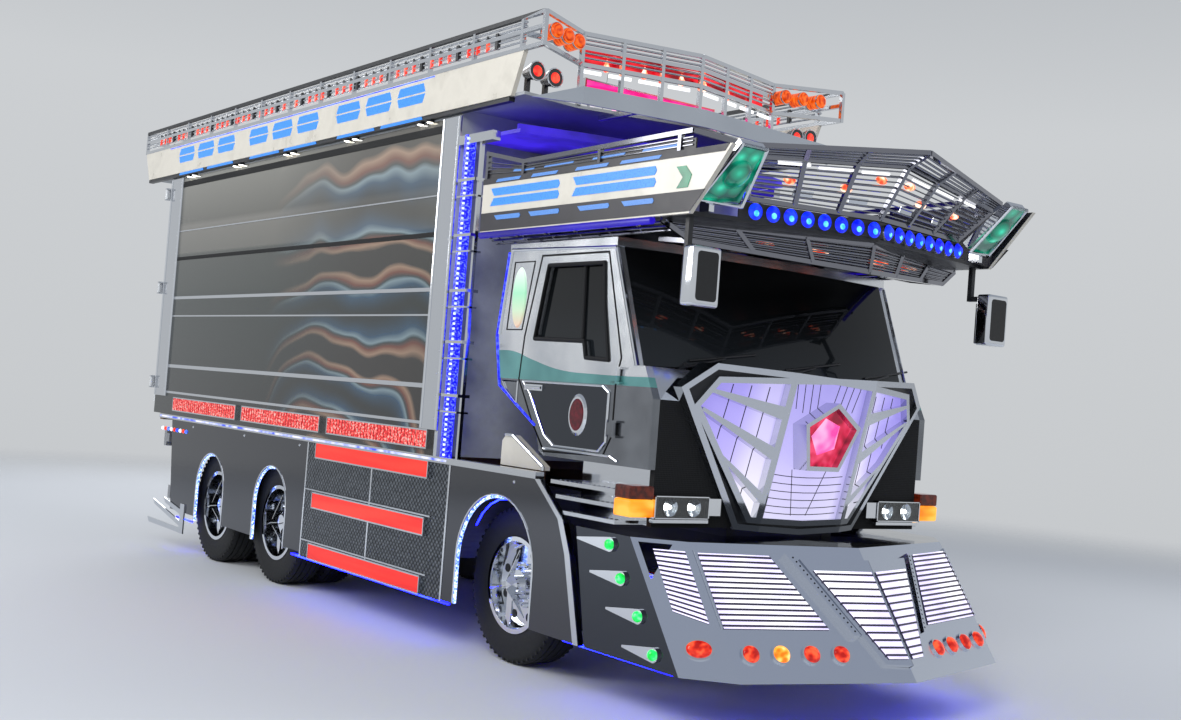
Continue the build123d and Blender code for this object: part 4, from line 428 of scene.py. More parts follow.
spot = add(tree, "ShaderNodeSeparateXYZ", {"Vector": way.outputs["Object"]})
span = {"Value": spot.outputs["Z"], "From Min": BOARD_Z[0], "From Max": BOARD_Z[1]}
rise = add(tree, "ShaderNodeMapRange", span)
boards = add(tree, "ShaderNodeValToRGB", {"Fac": rise}, BOARD_TONES)
swirl = {"Vector": way.outputs["Object"], "Scale": 0.42, "Distortion": 9.0, "Detail": 3.0}
swirl.update({"Detail Scale": 0.8, "Detail Roughness": 0.45})
drift = add(tree, "ShaderNodeTexWave", swirl, wave_type="RINGS", rings_direction="X")
haze = add(tree, "ShaderNodeValToRGB", {"Fac": drift.outputs["Fac"]}, HAZE_STOPS)
middle = add(tree, "ShaderNodeMath", {0: spot.outputs["Y"], 1: HAZE_MIDDLE}, operation="SUBTRACT")
spread = add(tree, "ShaderNodeMath", {0: middle}, operation="ABSOLUTE")
span = {"Value": spread, "From Min": 0.4, "From Max": 1.9, "To Min": 0.55, "To Max": 0.0}
fade = add(tree, "ShaderNodeMapRange", span)
blend = add(tree, "ShaderNodeMix", {"Factor": fade, 6: boards, 7: haze}, data_type="RGBA")
join(shader, {"Base Color": blend.outputs[2]})
liner = coat("painted plywood lining", SATIN, ("#A9AAA6", "#BEBFBA"), (0.4, 0.55), 4)
dress_faces("box_sides", (lacquer, liner), lambda c, n: 1 if c.x * n.x < 0 and abs(n.x) > 0.9 else 0)
roof_sheet = coat("painted roof sheet", SATIN, ("#8E9296", "#A4A8AC"), (0.4, 0.55), 5)
dress(roof_sheet, "box_roof", "box_front", "crown_deck")
ply_codes = ("#4A3524", "#6A4D34")
dress(coat("resin-faced plywood", SATIN, ply_codes, (0.45, 0.6), 6, 0.0004, (1, 12, 1)), "box_floor")


# Strips over the board joints: folded stainless, 10 to 30 mm wide, and two wider ones of black
# rubber. They run from post to post and stand 5 mm off the lacquer.
def block(bm, side, x, stations, heights):
    """Block on one side of the truck, between two distances from its middle, stations and heights."""
    x = sorted((side * x[0], side * x[1]))
    return box(bm, (x[0], at(stations[0]), heights[0]), (x[1], at(stations[1]), heights[1]))


stainless = chrome("mirror stainless", "#D3D6DB", 0.1, 0.0006, 2.2)
strip_skin = {"Specular IOR Level": 0.3}
rubber_strip = coat("moulded black rubber", strip_skin, ("#0D0D0E", "#17181A"), (0.6, 0.75), 80)
SIDE_X = 1.245
STRIP_RUN = (0.955, 5.745)
BRIGHT_STRIPS = ((2.30, 0.026), (2.13, 0.012), (1.66, 0.03), (2.93, 0.01), (1.415, 0.02))
BLACK_STRIPS = ((2.67, 0.03), (3.375, 0.05))
bright, black = bmesh.new(), bmesh.new()
for side in (1, -1):
    for bm, strips in ((bright, BRIGHT_STRIPS), (black, BLACK_STRIPS)):
        for z, tall in strips:
            block(bm, side, (SIDE_X, SIDE_X + 0.005), STRIP_RUN, (z - tall / 2, z + tall / 2))
piece("side_bright_strips", bright, stainless)
piece("side_black_strips", black, rubber_strip)

# Corner posts: pressed stainless channels with a rolled bead down each edge and rows of dome
# screws. The rear ones carry the hinges of the doors, polished alike.
POST_X = 1.257
dress(stainless, "box_posts")
bm = bmesh.new()
for side in (1, -1):
    for low, high in ((0.73, 0.96), (5.74, 6.05)):
        for station in (low + 0.02, high - 0.02):
            rod(bm, (side * POST_X, at(station), 1.385), (side * POST_X, at(station), 3.435), 0.009)
        for step in range(14):
            head = Vector((side * POST_X, at(low + 0.045), 1.45 + step * 0.148))
            rod(bm, head, head + Vector((side * 0.005, 0, 0)), 0.009, 10, 0.005)
piece("post_beads_and_screws", bm, plate_chrome)


# Rear doors: painted steel leaves with pressed panels, a black seal round each, two locking
# bars a leaf in brackets, and hinge straps that turn on the posts' pins.
def soften(bm, verts, offset, segments, least=0.0, most=math.inf):
    """Round the edges between some vertices, those with a length from least to most."""
    rim = [e for e in bm.edges if all(v in verts for v in e.verts) and least < e.calc_length() < most]
    bmesh.ops.bevel(
        bm, geom=rim, offset=offset, segments=segments, profile=0.5, affect="EDGES", material=-1
    )


door_skin = {"Coat Weight": 0.6, "Coat Roughness": 0.1}
door_paint = coat("rear door enamel", door_skin, ("#B9BCBF", "#C8CBCE"), (0.3, 0.4), 4)
dress(door_paint, "rear_door_left", "rear_door_right")
TAIL = 6.106
TAIL_FACE = at(TAIL)
SEAL_BARS = (
    ((0.004, 0.022), (1.36, 3.42)),
    ((1.2, 1.222), (1.36, 3.42)),
    ((0.022, 1.2), (3.395, 3.42)),
    ((0.022, 1.2), (1.36, 1.385)),
)
for side_name, side in SIDES:
    body = f"leaf_{side_name}"
    bars, seals, panels = bmesh.new(), bmesh.new(), bmesh.new()
    for x in (0.14, 0.98):
        rod(bars, (side * x, TAIL_FACE + 0.03, 1.42), (side * x, TAIL_FACE + 0.03, 3.41), 0.015, 12)
        for z in (1.5, 1.95, 2.7, 3.3):
            block(bars, side, (x - 0.035, x + 0.035), (TAIL, TAIL + 0.022), (z - 0.03, z + 0.03))
        grip = (side * (x - 0.004), TAIL_FACE + 0.034, 1.95)
        rod(bars, grip, (side * (x + 0.26 if x < 0.5 else x - 0.26), TAIL_FACE + 0.034, 1.9), 0.011)
    for z in (1.5, 2.4, 3.3):
        block(bars, side, (0.86, 1.22), (TAIL, TAIL + 0.008), (z - 0.032, z + 0.032))
    for heights in ((1.45, 2.02), (2.08, 2.72), (2.78, 3.38)):
        made = block(panels, side, (0.22, 0.9), (TAIL - 0.004, TAIL + 0.006), heights)
        soften(panels, made, 0.0045, 2)
    for x, heights in SEAL_BARS:
        block(seals, side, x, (TAIL - 0.003, TAIL + 0.004), heights)
    piece(f"rear_locking_bars_{side_name}", bars, plate_chrome, body)
    piece(f"rear_door_seals_{side_name}", seals, rubber_strip, body)
    piece(f"rear_door_panels_{side_name}", panels, door_paint, body)


# Skirts: mirror stainless with two rolled seams, tinted dark grey as painted shade. Between the
# seams the sheet is embossed all over with 30 mm scales, each painted bright at its middle and
# dark at its rim: painted glints and painted shade, as small bright points.
def side_plate(bm, side, x, outline, thick):
    """Plate on the truck's side from (station, z) points, thickened outwards."""
    plate(bm, [(side * x, at(station), z) for station, z in outline], Vector((side * thick, 0, 0)))


# Each scale's colour is painted light: a painted highlight at its middle, painted shade towards its rim.
SCALE_GLINT_AND_SHADE_TONES = ((0.0, "#A4A8AE"), (0.32, "#6F747A"), (0.6, "#2C2F33"))
scaled_painted_glints, tree, shader = finish("embossed stainless with painted glints and shade", {"Metallic": 1.0, "Roughness": 0.2})
way = add(tree, "ShaderNodeTexCoord")
slant = {"Vector": way.outputs["Object"], "Rotation": (math.radians(45), 0, 0)}
rows = {"Vector": add(tree, "ShaderNodeMapping", slant), "Scale": 33.0, "Randomness": 0.12}
scales = add(tree, "ShaderNodeTexVoronoi", rows)
hollow = {"Height": scales, "Strength": 0.9, "Distance": 0.004}
join(shader, {"Base Color": add(tree, "ShaderNodeValToRGB", {"Fac": scales}, SCALE_GLINT_AND_SHADE_TONES)})
join(shader, {"Normal": add(tree, "ShaderNodeBump", hollow, invert=True)})
# The skirt's mirror stainless is tinted dark grey: painted shade, a shaded copy of the bright stainless.
dress(chrome("mirror stainless skirt tinted as painted shade", "#5C5D61", 0.07, 0.0016, 1.3), "side_skirts")
EMBOSSED = ((0.54, 0.30), (2.62, 0.30), (2.62, 1.165), (0.54, 1.165))
bm, seams = bmesh.new(), bmesh.new()
for side in (1, -1):
    side_plate(bm, side, SIDE_X, EMBOSSED, 0.003)
    for station in (0.54, 1.58, 2.62):
        rod(seams, (side * 1.247, at(station), 0.3), (side * 1.247, at(station), 1.165), 0.007)
    for station in (-0.2, 2.78, 3.85, 5.0):
        head = Vector((side * SIDE_X, at(station), 1.13))
        rod(seams, head, head + Vector((side * 0.006, 0, 0)), 0.011, 10, 0.006)
piece("skirt_embossed_sheets", bm, scaled_painted_glints)
piece("skirt_seams", seams, plate_chrome)


# Arch lights: blue-white flexible tubes clipped round the rear half of each wheel arch, and a
# bright rolled lip along the arch's edge in front of them.
def lit(name, codes, strength, scale=40.0, rough=0.25, stretch=(1, 1, 1)):
    """Lit plastic: it sends out its own colour, uneven between codes over the bulbs behind."""
    unlit = [0.3 * part for part in colour(codes[0])[:3]] + [1.0]
    sockets = {"Roughness": rough, "Emission Strength": strength, "Base Color": unlit}
    made, tree, shader = finish(name, sockets)
    way = add(tree, "ShaderNodeTexCoord")
    drawn = add(tree, "ShaderNodeMapping", {"Vector": way.outputs["Object"], "Scale": stretch})
    cloud = add(tree, "ShaderNodeTexNoise", {"Vector": drawn, "Scale": scale, "Detail": 1.0})
    stops = [(0.35 + 0.3 * i / max(len(codes) - 1, 1), code) for i, code in enumerate(codes)]
    join(shader, {"Emission Color": add(tree, "ShaderNodeValToRGB", {"Fac": cloud}, stops)})
    return made


def ball(bm, place, radius, around, up):
    """Ball at a point, or a squashed and turned one under a matrix."""
    place = place if isinstance(place, Matrix) else Matrix.Translation(place)
    bmesh.ops.create_uvsphere(bm, u_segments=around, v_segments=up, radius=radius, matrix=place)


def bend_tube(bm, points, radius, sides=8):
    """Round tube through points, in straight lengths that meet in small balls."""
    for start, end in zip(points, points[1:]):
        rod(bm, start, end, radius, sides)
    for point in points[1:-1]:
        ball(bm, point, radius, sides, 5)


arch_light = lit("blue LED tube", ("#2B4BFF", "#7FA6FF", "#DCE8FF"), 2.2, 60)
ARCHES = ((-0.035, 0.612, 0.425), (3.25, 0.62, 0.31), (4.51, 0.62, 0.31))
ARCH_FOOT = 0.31
tubes, lips = bmesh.new(), bmesh.new()
for side in (1, -1):
    for station, z, radius in ARCHES:
        turns = [math.radians(95 - step * 7.3) for step in range(14)]
        run = [(station + math.cos(a) * radius, z + math.sin(a) * radius) for a in turns]
        run += [(station + radius, z), (station + radius, ARCH_FOOT)]
        inner = [(side * 1.236, at(s - 0.012), h - 0.012 if h > z else h) for s, h in run]
        bend_tube(tubes, inner, 0.010, 6)
        turns = [math.radians(180 - step * 9) for step in range(21)]
        edge = [(station + math.cos(a) * radius, z + math.sin(a) * radius) for a in turns]
        edge = [(station - radius, ARCH_FOOT), *edge, (station + radius, ARCH_FOOT)]
        bend_tube(lips, [(side * 1.2455, at(s), h) for s, h in edge], 0.006, 6)
piece("arch_light_tubes", tubes, arch_light)
piece("arch_lips", lips, plate_chrome)

# Side lamps: red-orange acrylic bars over LEDs in folded stainless frames. The row under the
# box shows its bulbs as a lighter grain; the three long bars on the skirt are evenly bright.
lamp_bar = lit("red acrylic lamp bar", ("#D8140A", "#F02210", "#FF3420"), 1.0, 3.0, 0.2, (1, 0.3, 4))
row_led = lit("red LED mesh", ("#B40A14", "#E81E22", "#FF5A50", "#FFC0B8"), 1.0, 70, 0.35, (1, 0.7, 1))
dress_faces("side_lamps", (lamp_bar, row_led), lambda c, n: 1 if c.z > 1.2 else 0)
ROW_LAMPS = [(0.835 + 1.6 * step, 2.29 + 1.6 * step, 1.256, 1.366) for step in range(3)]
SKIRT_LAMPS = [(0.79, 2.44, z - 0.0525, z + 0.0525) for z in (1.116, 0.743, 0.363)]
FRAME_X = (SIDE_X, SIDE_X + 0.026)
RIB_X = (SIDE_X + 0.0218, SIDE_X + 0.0235)
RIB_PITCH = 0.0485
bm, ribs = bmesh.new(), bmesh.new()
for side in (1, -1):
    for start, end, low, high in ROW_LAMPS + SKIRT_LAMPS:
        for z in (low - 0.004, high + 0.004):
            block(bm, side, FRAME_X, (start - 0.01, end + 0.01), (z - 0.005, z + 0.005))
        for station in (start - 0.006, end + 0.006):
            block(bm, side, FRAME_X, (station - 0.005, station + 0.005), (low, high))
    for start, end, low, high in ROW_LAMPS:
        count = int((end - start) / RIB_PITCH)
        for cell in range(1, count):
            station = start + (end - start) * cell / count
            block(ribs, side, RIB_X, (station - 0.0018, station + 0.0018), (low, high))
piece("side_lamp_frames", bm, stainless)
piece("side_lamp_ribs", ribs, rubber_strip)

# Side rail: a stainless ledge with a rolled front edge, and a white-blue marker strip let into
# it. The fins at the tail are polished sheet; small lamps stand under the rail's rear end.
dress(stainless, "side_rails")
marker_strip = lit("white and blue marker strip", ("#3B4FE0", "#B9C4FF", "#F2F0FF"), 1.1, 9, 0.3)
blue_jewel = lit("blue jewel lamp", ("#1C3BFF", "#5D8BFF"), 1.6, 30)
red_jewel = lit("red jewel lamp", ("#D81616", "#FF5136"), 1.4, 30)
white_jewel = lit("white jewel lamp", ("#E9ECFF", "#FFFFFF"), 1.2, 30)
strips, jewels = bmesh.new(), [bmesh.new() for _ in range(3)]
for side in (1, -1):
    block(strips, side, (1.275, 1.2775), (0.55, 5.78), (1.183, 1.197))
    for step in range(9):
        spot = Vector((side * SIDE_X, at(5.16 + 0.075 * step), 1.075))
        rod(jewels[step % 3], spot, spot + Vector((side * 0.014, 0, 0)), 0.02, 12, 0.012)
piece("rail_marker_strips", strips, marker_strip)
for index, jewel in enumerate((blue_jewel, red_jewel, white_jewel)):
    piece(f"tail_jewel_lamps_{index}", jewels[index], jewel)

# Cab steps: three bent stainless treads a side under the cab door, each with a row of punched
# grip buttons.
dress(stainless, "cab_steps")
BUTTON_PITCH = 0.045
bm = bmesh.new()
for side in (1, -1):
    for station, z in ((-0.56, 1.18), (-0.62, 1.10), (-0.70, 1.014)):
        for step in range(int((station + 1.15) / BUTTON_PITCH)):
            foot = Vector((side * 1.19, at(-1.14 + BUTTON_PITCH * step), z))
            rod(bm, foot, foot + UP * 0.003, 0.011, 8, 0.007)
piece("step_grip_buttons", bm, plate_chrome)

# Rear guard: welded square steel tube in grey enamel, with red and amber lenses and a blank
# number plate whose corners are rounded.
guard_paint = coat("grey guard enamel", {"Coat Weight": 0.3}, ("#6E7175", "#808388"), (0.35, 0.5), 12)
dress(guard_paint, "rear_guard")
tail_red = lit("red tail lens", ("#8E0F12", "#C4201C", "#E83A2A"), 0.7, 60, 0.12)
tail_amber = lit("amber tail lens", ("#C4660E", "#F09A2A"), 0.7, 60, 0.12)
blank_plate = coat("blank painted plate", {"Coat Weight": 0.4}, ("#DADBD6", "#E8E8E3"), (0.32, 0.42), 9)
reds, ambers, plates = bmesh.new(), bmesh.new(), bmesh.new()
for side in (1, -1):
    for bm, *x in ((reds, 0.71, 0.9), (ambers, 0.91, 1.0), (reds, 1.01, 1.14)):
        soften(bm, block(bm, side, x, (5.969, 5.982), (0.915, 1.045)), 0.006, 2)
made = box(plates, (-0.165, at(5.74), 0.548), (0.165, at(5.743), 0.7))
soften(plates, made, 0.012, 3, most=0.004)
piece("tail_lenses_red", reds, tail_red)
piece("tail_lenses_amber", ambers, tail_amber)
piece("rear_plate_blank", plates, blank_plate)


# Crown boards: signboards in cream enamel. Each side carries nine lit blue cells in two rows
# between raised dividers; above runs a double blue tube, and below a dark tray with more
# cells and five pairs of downlights.
def merged(node):
    """Copy of a CAD node's mesh with its loose triangles joined."""
    bm = bmesh.new()
    bm.from_mesh(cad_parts[node].data)
    bmesh.ops.remove_doubles(bm, verts=bm.verts[:], dist=0.00001)
    return bm


cream_skin = {"Coat Weight": 0.5, "Coat Roughness": 0.08}
cream = coat("cream signboard enamel", cream_skin, ("#BDB8AC", "#CFCABE", "#C6C1B5"), (0.25, 0.38), 3)
led_cell = lit("blue acrylic over LEDs", ("#1E78E0", "#3C98F4", "#2E88EA"), 0.95, 90, 0.3)
tray_skin = {"Specular IOR Level": 0.5}
tray_black = coat("black sheet tray", tray_skin, ("#121317", "#1C1E24"), (0.3, 0.45), 7)
white_tube = lit("white downlight", ("#FFF7E0", "#FFFFFF"), 7.0, 20)
neon_blue = lit("blue neon tube", ("#1F3CFF", "#4F7BFF", "#1F3CFF"), 1.6, 4)
CELL_X = 1.2974
CELL_GROUPS = (5.795, 4.143, 2.5)
CELL_L = 0.385
CELL_PITCH = 0.475
CELL_SLANT = 0.03
CELL_ROWS = ((3.575, 3.635, CELL_SLANT, 0.0), (3.648, 3.708, 0.0, CELL_SLANT))
TRAY_Z = 3.452
dress(cream, "crown_boards")
bm = merged("crown_boards")
bmesh.ops.scale(bm, vec=(0.998, 1, 1), verts=bm.verts[:])
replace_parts(piece("crown_signboards", bm, cream), "crown_boards")
cells, trays, dots, neon = (bmesh.new() for _ in range(4))
for side in (1, -1):
    for start in CELL_GROUPS:
        for step in range(3):
            left = start - step * CELL_PITCH
            right = left - CELL_L
            for low, high, foot, head in CELL_ROWS:
                outline = [(left - foot, low), (left - head, high)]
                outline += [(right + head, high), (right + foot, low)]
                side_plate(cells, side, CELL_X, outline, 0.0022)
        for step in range(2):
            left = start - 0.02 - step * 0.69
            outline = [(left, 3.46), (left - 0.02, 3.488), (left - 0.58, 3.488), (left - 0.6, 3.46)]
            side_plate(cells, side, 1.2885, outline, 0.004)
    block(trays, side, (1.246, 1.288), (0.12, 6.62), (TRAY_Z, 3.4985))
    for station in (5.584, 4.488, 3.434, 2.352, 1.257):
        for gap in (0.0, -0.13):
            spot = Vector((side * 1.264, at(station + gap), TRAY_Z))
            rod(trays, spot, spot - UP * 0.016, 0.034, 16, 0.028)
            rod(dots, spot - UP * 0.014, spot - UP * 0.021, 0.024, 14, 0.016)
    for x, z in ((1.287, 3.752), (1.2935, 3.735)):
        rod(neon, (side * x, at(6.05), z), (side * 1.2935, at(1.05), z), 0.006, 8)
piece("crown_led_cells", cells, led_cell)
piece("crown_trays", trays, tray_black)
piece("crown_downlights", dots, white_tube)
piece("crown_neon", neon, neon_blue)

# Crown cage: round and square stainless tube, welded and polished. Its top rail is painted
# black, and red marker lamps stand between the rods in groups of three.
cage_black = coat("black powder coat", {"Metallic": 0.0}, ("#17181B", "#24262A"), (0.35, 0.5), 30)
top_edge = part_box("crown_cage")[1].z


def cage_part(centre, normal):
    """Top rail along the sides in black, all else polished."""
    return 1 if centre.z > top_edge - 0.0275 and abs(centre.x) > 1.26 and centre.y > at(0.1) else 0


def marker(spot):
    """Red lens with a black cap."""
    rod(lenses, spot, spot + UP * 0.075, 0.0125, 8)
    rod(holders, spot + UP * 0.075, spot + UP * 0.1, 0.013, 8)


dress_faces("crown_cage", (stainless, cage_black), cage_part)
marker_red = lit("red marker lens", ("#C21310", "#F0301C", "#FF6A4A"), 1.2, 55, 0.15)
MARKER_Z = 3.8
lenses, holders = bmesh.new(), bmesh.new()
for side in (1, -1):
    for group in range(13):
        for step in range(4):
            spot = Vector((side * 1.287, at(6.35 - group * 0.475 - step * 0.115), MARKER_Z))
            if step < 3:
                marker(spot)
            else:
                box(holders, spot - Vector((0.012, 0.014, 0.0)), spot + Vector((0.012, 0.014, 0.1)))
for step in range(18):
    marker(Vector((-1.02 + 0.12 * step, at(6.737), MARKER_Z)))
piece("crown_marker_lamps", lenses, marker_red)
piece("crown_marker_holders", holders, cage_black)

# Crown front: a plain lit magenta sign over a V-shaped satin band and a shelf washed in violet.
# Red acrylic glows behind the V rods, with a row of pointed lamps; an aerial stands behind.
satin_band = chrome("satin anodised band", "#C6CCD5", 0.3)
magenta = lit("magenta acrylic sign", ("#E0127A", "#FF2F9E", "#FF5A8E"), 1.15, 7, 0.2, (1, 1, 3))
WASH_STOPS = ((0.34, "#140A4A"), (0.5, "#2A10B8"), (0.66, "#3F22F0"))
wash_skin = {"Base Color": "#1A1440", "Roughness": 0.35, "Emission Strength": 0.9}
violet_wash, tree, shader = finish("violet-lit sheet", wash_skin)
way = add(tree, "ShaderNodeTexCoord")
cloud = add(tree, "ShaderNodeTexNoise", {"Vector": way.outputs["Object"], "Scale": 2.2, "Detail": 3.0})
join(shader, {"Emission Color": add(tree, "ShaderNodeValToRGB", {"Fac": cloud}, WASH_STOPS)})
SIGN = 0.34
SIGN_FACE = at(SIGN)


def crown_front_part(centre, normal):
    """Lit sign face, violet shelf, satin band, and polished stainless for the rest."""
    if centre.z > 3.64 and centre.y < SIGN_FACE + 0.001:
        return 1
    if 3.28 < centre.z < 3.35 and centre.y > at(-0.25):
        return 2
    return 3 if centre.y < at(-0.08) else 0


dress_faces("crown_front", (stainless, magenta, violet_wash, satin_band), crown_front_part)
red_acrylic = lit("red acrylic panel", ("#7A0412", "#D8101E", "#FF2A38"), 1.1, 5, 0.15, (1, 1, 6))
hot_point = lit("clear red flame lamp", ("#FF3A1E", "#FF8A5A", "#FFD9C0"), 2.0, 25)
slot_white = lit("white lamp slot", ("#FFFFFF", "#F4F6FF"), 1.3, 10)
pyramid_pink = lit("pink frosted lamp", ("#FF8FC6", "#FFC4E2"), 1.1, 12)
V_NOSE = Vector((0, at(-0.10), 0))
reds, points, slots, frames, pyramids, aerial = (bmesh.new() for _ in range(6))
for side in (1, -1):
    run = Vector((side * 0.80, at(0.085), 0)) - V_NOSE
    ahead = UP.cross(run).normalized() * -side
    corners = [V_NOSE + UP * 3.772, V_NOSE + run + UP * 3.772]
    corners += [V_NOSE + run + UP * 3.885, V_NOSE + UP * 3.862]
    plate(reds, corners, -ahead * 0.012)
    for share in (0.12, 0.45, 0.78):
        spot = V_NOSE + run * share + UP * 3.80 + ahead * 0.012
        rod(points, spot - UP * 0.025, spot + UP * 0.03, 0.026, 10, 0.003)
        ball(points, spot - UP * 0.025, 0.026, 10, 6)
    reach = run.normalized() * 0.08
    low = UP * 0.011
    for share in (0.16, 0.42, 0.68, 0.94):
        spot = V_NOSE + run * share + UP * 3.722 + ahead * 0.048
        near, far = spot - reach, spot + reach
        plate(slots, [near - low, far - low, far + low, near + low], ahead * 0.008)
    block(frames, side, (0.56, 0.572), (SIGN - 0.012, SIGN + 0.06), (3.645, 3.772))
for z in (3.645, 3.76):
    box(frames, (-0.56, SIGN_FACE - 0.012, z), (0.56, SIGN_FACE + 0.06, z + 0.01))
for step in range(23):
    x = -0.53 + 0.0482 * step
    box(slots, (x - 0.009, SIGN_FACE - 0.004, 3.666), (x + 0.009, SIGN_FACE + 0.001, 3.672))
for x in (-0.42, 0.42):
    place = Matrix.Translation((x, at(0.16), 3.555)) @ Matrix.Rotation(math.radians(45), 4, "Z")
    cone(pyramids, place, (0.075, 0.0), 0.11, 4)
rod(aerial, (-0.3, at(0.5), 3.5), (-0.3, at(0.5), 3.515), 0.02, 12)
rod(aerial, (-0.3, at(0.5), 3.515), (-0.3, at(0.44), 3.95), 0.0022, 6, 0.001)
piece("crown_red_panels", reds, red_acrylic)
piece("crown_flame_lamps", points, hot_point)
piece("crown_white_slots", slots, slot_white)
piece("crown_sign_frame", frames, stainless)
piece("crown_pyramid_lamps", pyramids, pyramid_pink)
piece("aerial", aerial, cage_black)

# Crown corner lamps: amber glass bullets with domed noses in chromed rims, and under them
# two black horns whose mouths glow red.
amber_glass = lit("amber ribbed glass", ("#B83204", "#F05A12", "#FF7A26"), 0.95, 22, 0.08, (1, 5, 1))
horn_black = coat("black lacquered horn", {"Coat Weight": 0.8}, ("#0E0E10", "#1A1A1D"), (0.2, 0.35), 20)
BULLETS = ((1.149, -0.088), (1.028, -0.038), (0.908, 0.013))
BULLET_Z = 3.88
HORNS = ((1.19, 3.638), (1.055, 3.622))
HORN_LIP = 0.0585


def crown_lamp_part(centre, normal):
    """Amber for the bullets, black for the horns, polished for the brackets."""
    if centre.z < 3.79:
        return 1
    for x, station in BULLETS:
        off = Vector((abs(centre.x) - x, centre.z - BULLET_Z))
        if 0.013 < off.length < 0.0485 and abs(centre.y - at(station)) < 0.0555:
            return 0
    return 2


dress_faces("amber_lamps", (amber_glass, horn_black, stainless), crown_lamp_part)
domes, rims, mouths = bmesh.new(), bmesh.new(), bmesh.new()
for side in (1, -1):
    for x, station in BULLETS:
        nose = Vector((side * x, at(station) - 0.055, BULLET_Z))
        ball(domes, Matrix.Translation(nose) @ Matrix.Diagonal((1, 0.6, 1, 1)), 0.044, 16, 10)
        for y in (0.0, 0.1):
            rod(rims, nose + Vector((0, y, 0)), nose + Vector((0, y + 0.012, 0)), 0.0505, 20)
    for x, z in HORNS:
        mouth = Vector((side * x, at(-0.025), z))
        rod(mouths, mouth, mouth - Vector((0, 0.003, 0)), 0.034, 18, 0.026)
        turns = [math.tau * step / 16 for step in range(17)]
        lip = [mouth + Vector((math.cos(a), 0, math.sin(a))) * HORN_LIP for a in turns]
        for start, end in zip(lip, lip[1:]):
            rod(rims, start, end, 0.0045, 6)
smooth(piece("crown_bullet_domes", domes, amber_glass))
piece("crown_lamp_rims", rims, plate_chrome)
piece("horn_glow", mouths, red_jewel)

# Visor deck: cream signboards with two pairs of pointed blue bars and a green chevron, a dark
# strip of small blue cells above and below them, and a violet-lit pipe along the underside.
strip_codes = ("#17161C", "#24222B")
dark_strip = coat("dark satin strip", {"Specular IOR Level": 0.5}, strip_codes, (0.28, 0.42), 9)
small_cell = lit("small blue LED cell", ("#3F78C8", "#5F9AE6", "#4A86D6"), 0.85, 160, 0.3)
green_lens = lit("green acrylic", ("#045A40", "#0C8A60", "#1FA878"), 0.6, 9, 0.15)
violet_pipe = lit("violet-lit enamel pipe", ("#160C5E", "#2A16C0", "#3A24F0"), 0.6, 3, 0.2, (1, 0.4, 1))
BOARD_X = 1.25
BAR_SLANT = 0.035
BAR_POINT = 0.014
BAR_GROUPS = ((0.299, -0.441), (-0.575, -1.334))
BAR_ROWS = ((2.878, 2.925, BAR_SLANT, 0.0), (2.815, 2.862, 0.0, BAR_SLANT))
DARK_STRIPS = (
    (BOARD_X, ((0.4, 2.66), (0.4, 2.772), (-1.74, 2.772), (-1.63, 2.664)), 0.003),
    (BOARD_X, ((0.4, 2.955), (0.4, 2.99), (-1.9, 2.99), (-1.87, 2.955)), 0.003),
    (1.224, ((0.39, 2.985), (0.39, 3.05), (-1.62, 3.05), (-1.62, 2.985)), 0.01),
)
UNDER_CELLS = ((0.24, -0.04), (-0.14, -0.45), (-0.64, -0.93), (-1.05, -1.32))
OVER_CELLS = (
    (1.253, 2.962, 2.98, ((0.25, -0.01), (-0.14, -0.4), (-0.59, -0.89), (-1.01, -1.35))),
    (1.234, 3.012, 3.03, ((0.10, -0.13), (-0.24, -0.53), (-0.72, -1.01), (-1.17, -1.47))),
)
CHEVRON = ((-1.50, 2.905), (-1.575, 2.905), (-1.625, 2.855), (-1.60, 2.79), (-1.51, 2.79), (-1.555, 2.845))
dress_faces("visor_deck", (cream, tray_black), lambda c, n: 0 if abs(c.x) > 1.2205 else 1)
bars, minis, greens, darks, pipes = (bmesh.new() for _ in range(5))
for side in (1, -1):
    for rear, front in BAR_GROUPS:
        for low, high, foot, head in BAR_ROWS:
            outline = [(rear - foot, low), (rear - head, high), (front + BAR_POINT, high)]
            outline += [(front, (low + high) / 2), (front + BAR_POINT, low)]
            side_plate(bars, side, BOARD_X, outline, 0.004)
    for x, outline, thick in DARK_STRIPS:
        side_plate(darks, side, x, outline, thick)
    for rear, front in UNDER_CELLS:
        outline = [(rear, 2.752), (rear - 0.03, 2.724)]
        outline += [(front, 2.724), (front - 0.01, 2.738), (front, 2.752)]
        side_plate(minis, side, 1.253, outline, 0.003)
    for x, low, high, runs in OVER_CELLS:
        for rear, front in runs:
            outline = [(rear, low), (rear - 0.02, high), (front - 0.02, high), (front, low)]
            side_plate(minis, side, x, outline, 0.003)
    side_plate(greens, side, BOARD_X, CHEVRON, 0.004)
    rod(pipes, (side * 1.228, at(0.42), 2.638), (side * 1.228, at(-1.3), 2.638), 0.022, 14)
    for step in range(6):
        station = 0.3 - 0.3 * step
        block(darks, side, (1.222, 1.234), (station - 0.01, station + 0.01), (2.61, 2.662))
piece("visor_blue_bars", bars, led_cell)
piece("visor_small_cells", minis, small_cell)
piece("visor_chevrons", greens, green_lens)
piece("visor_dark_strips", darks, dark_strip)
piece("visor_pipes", pipes, violet_pipe)

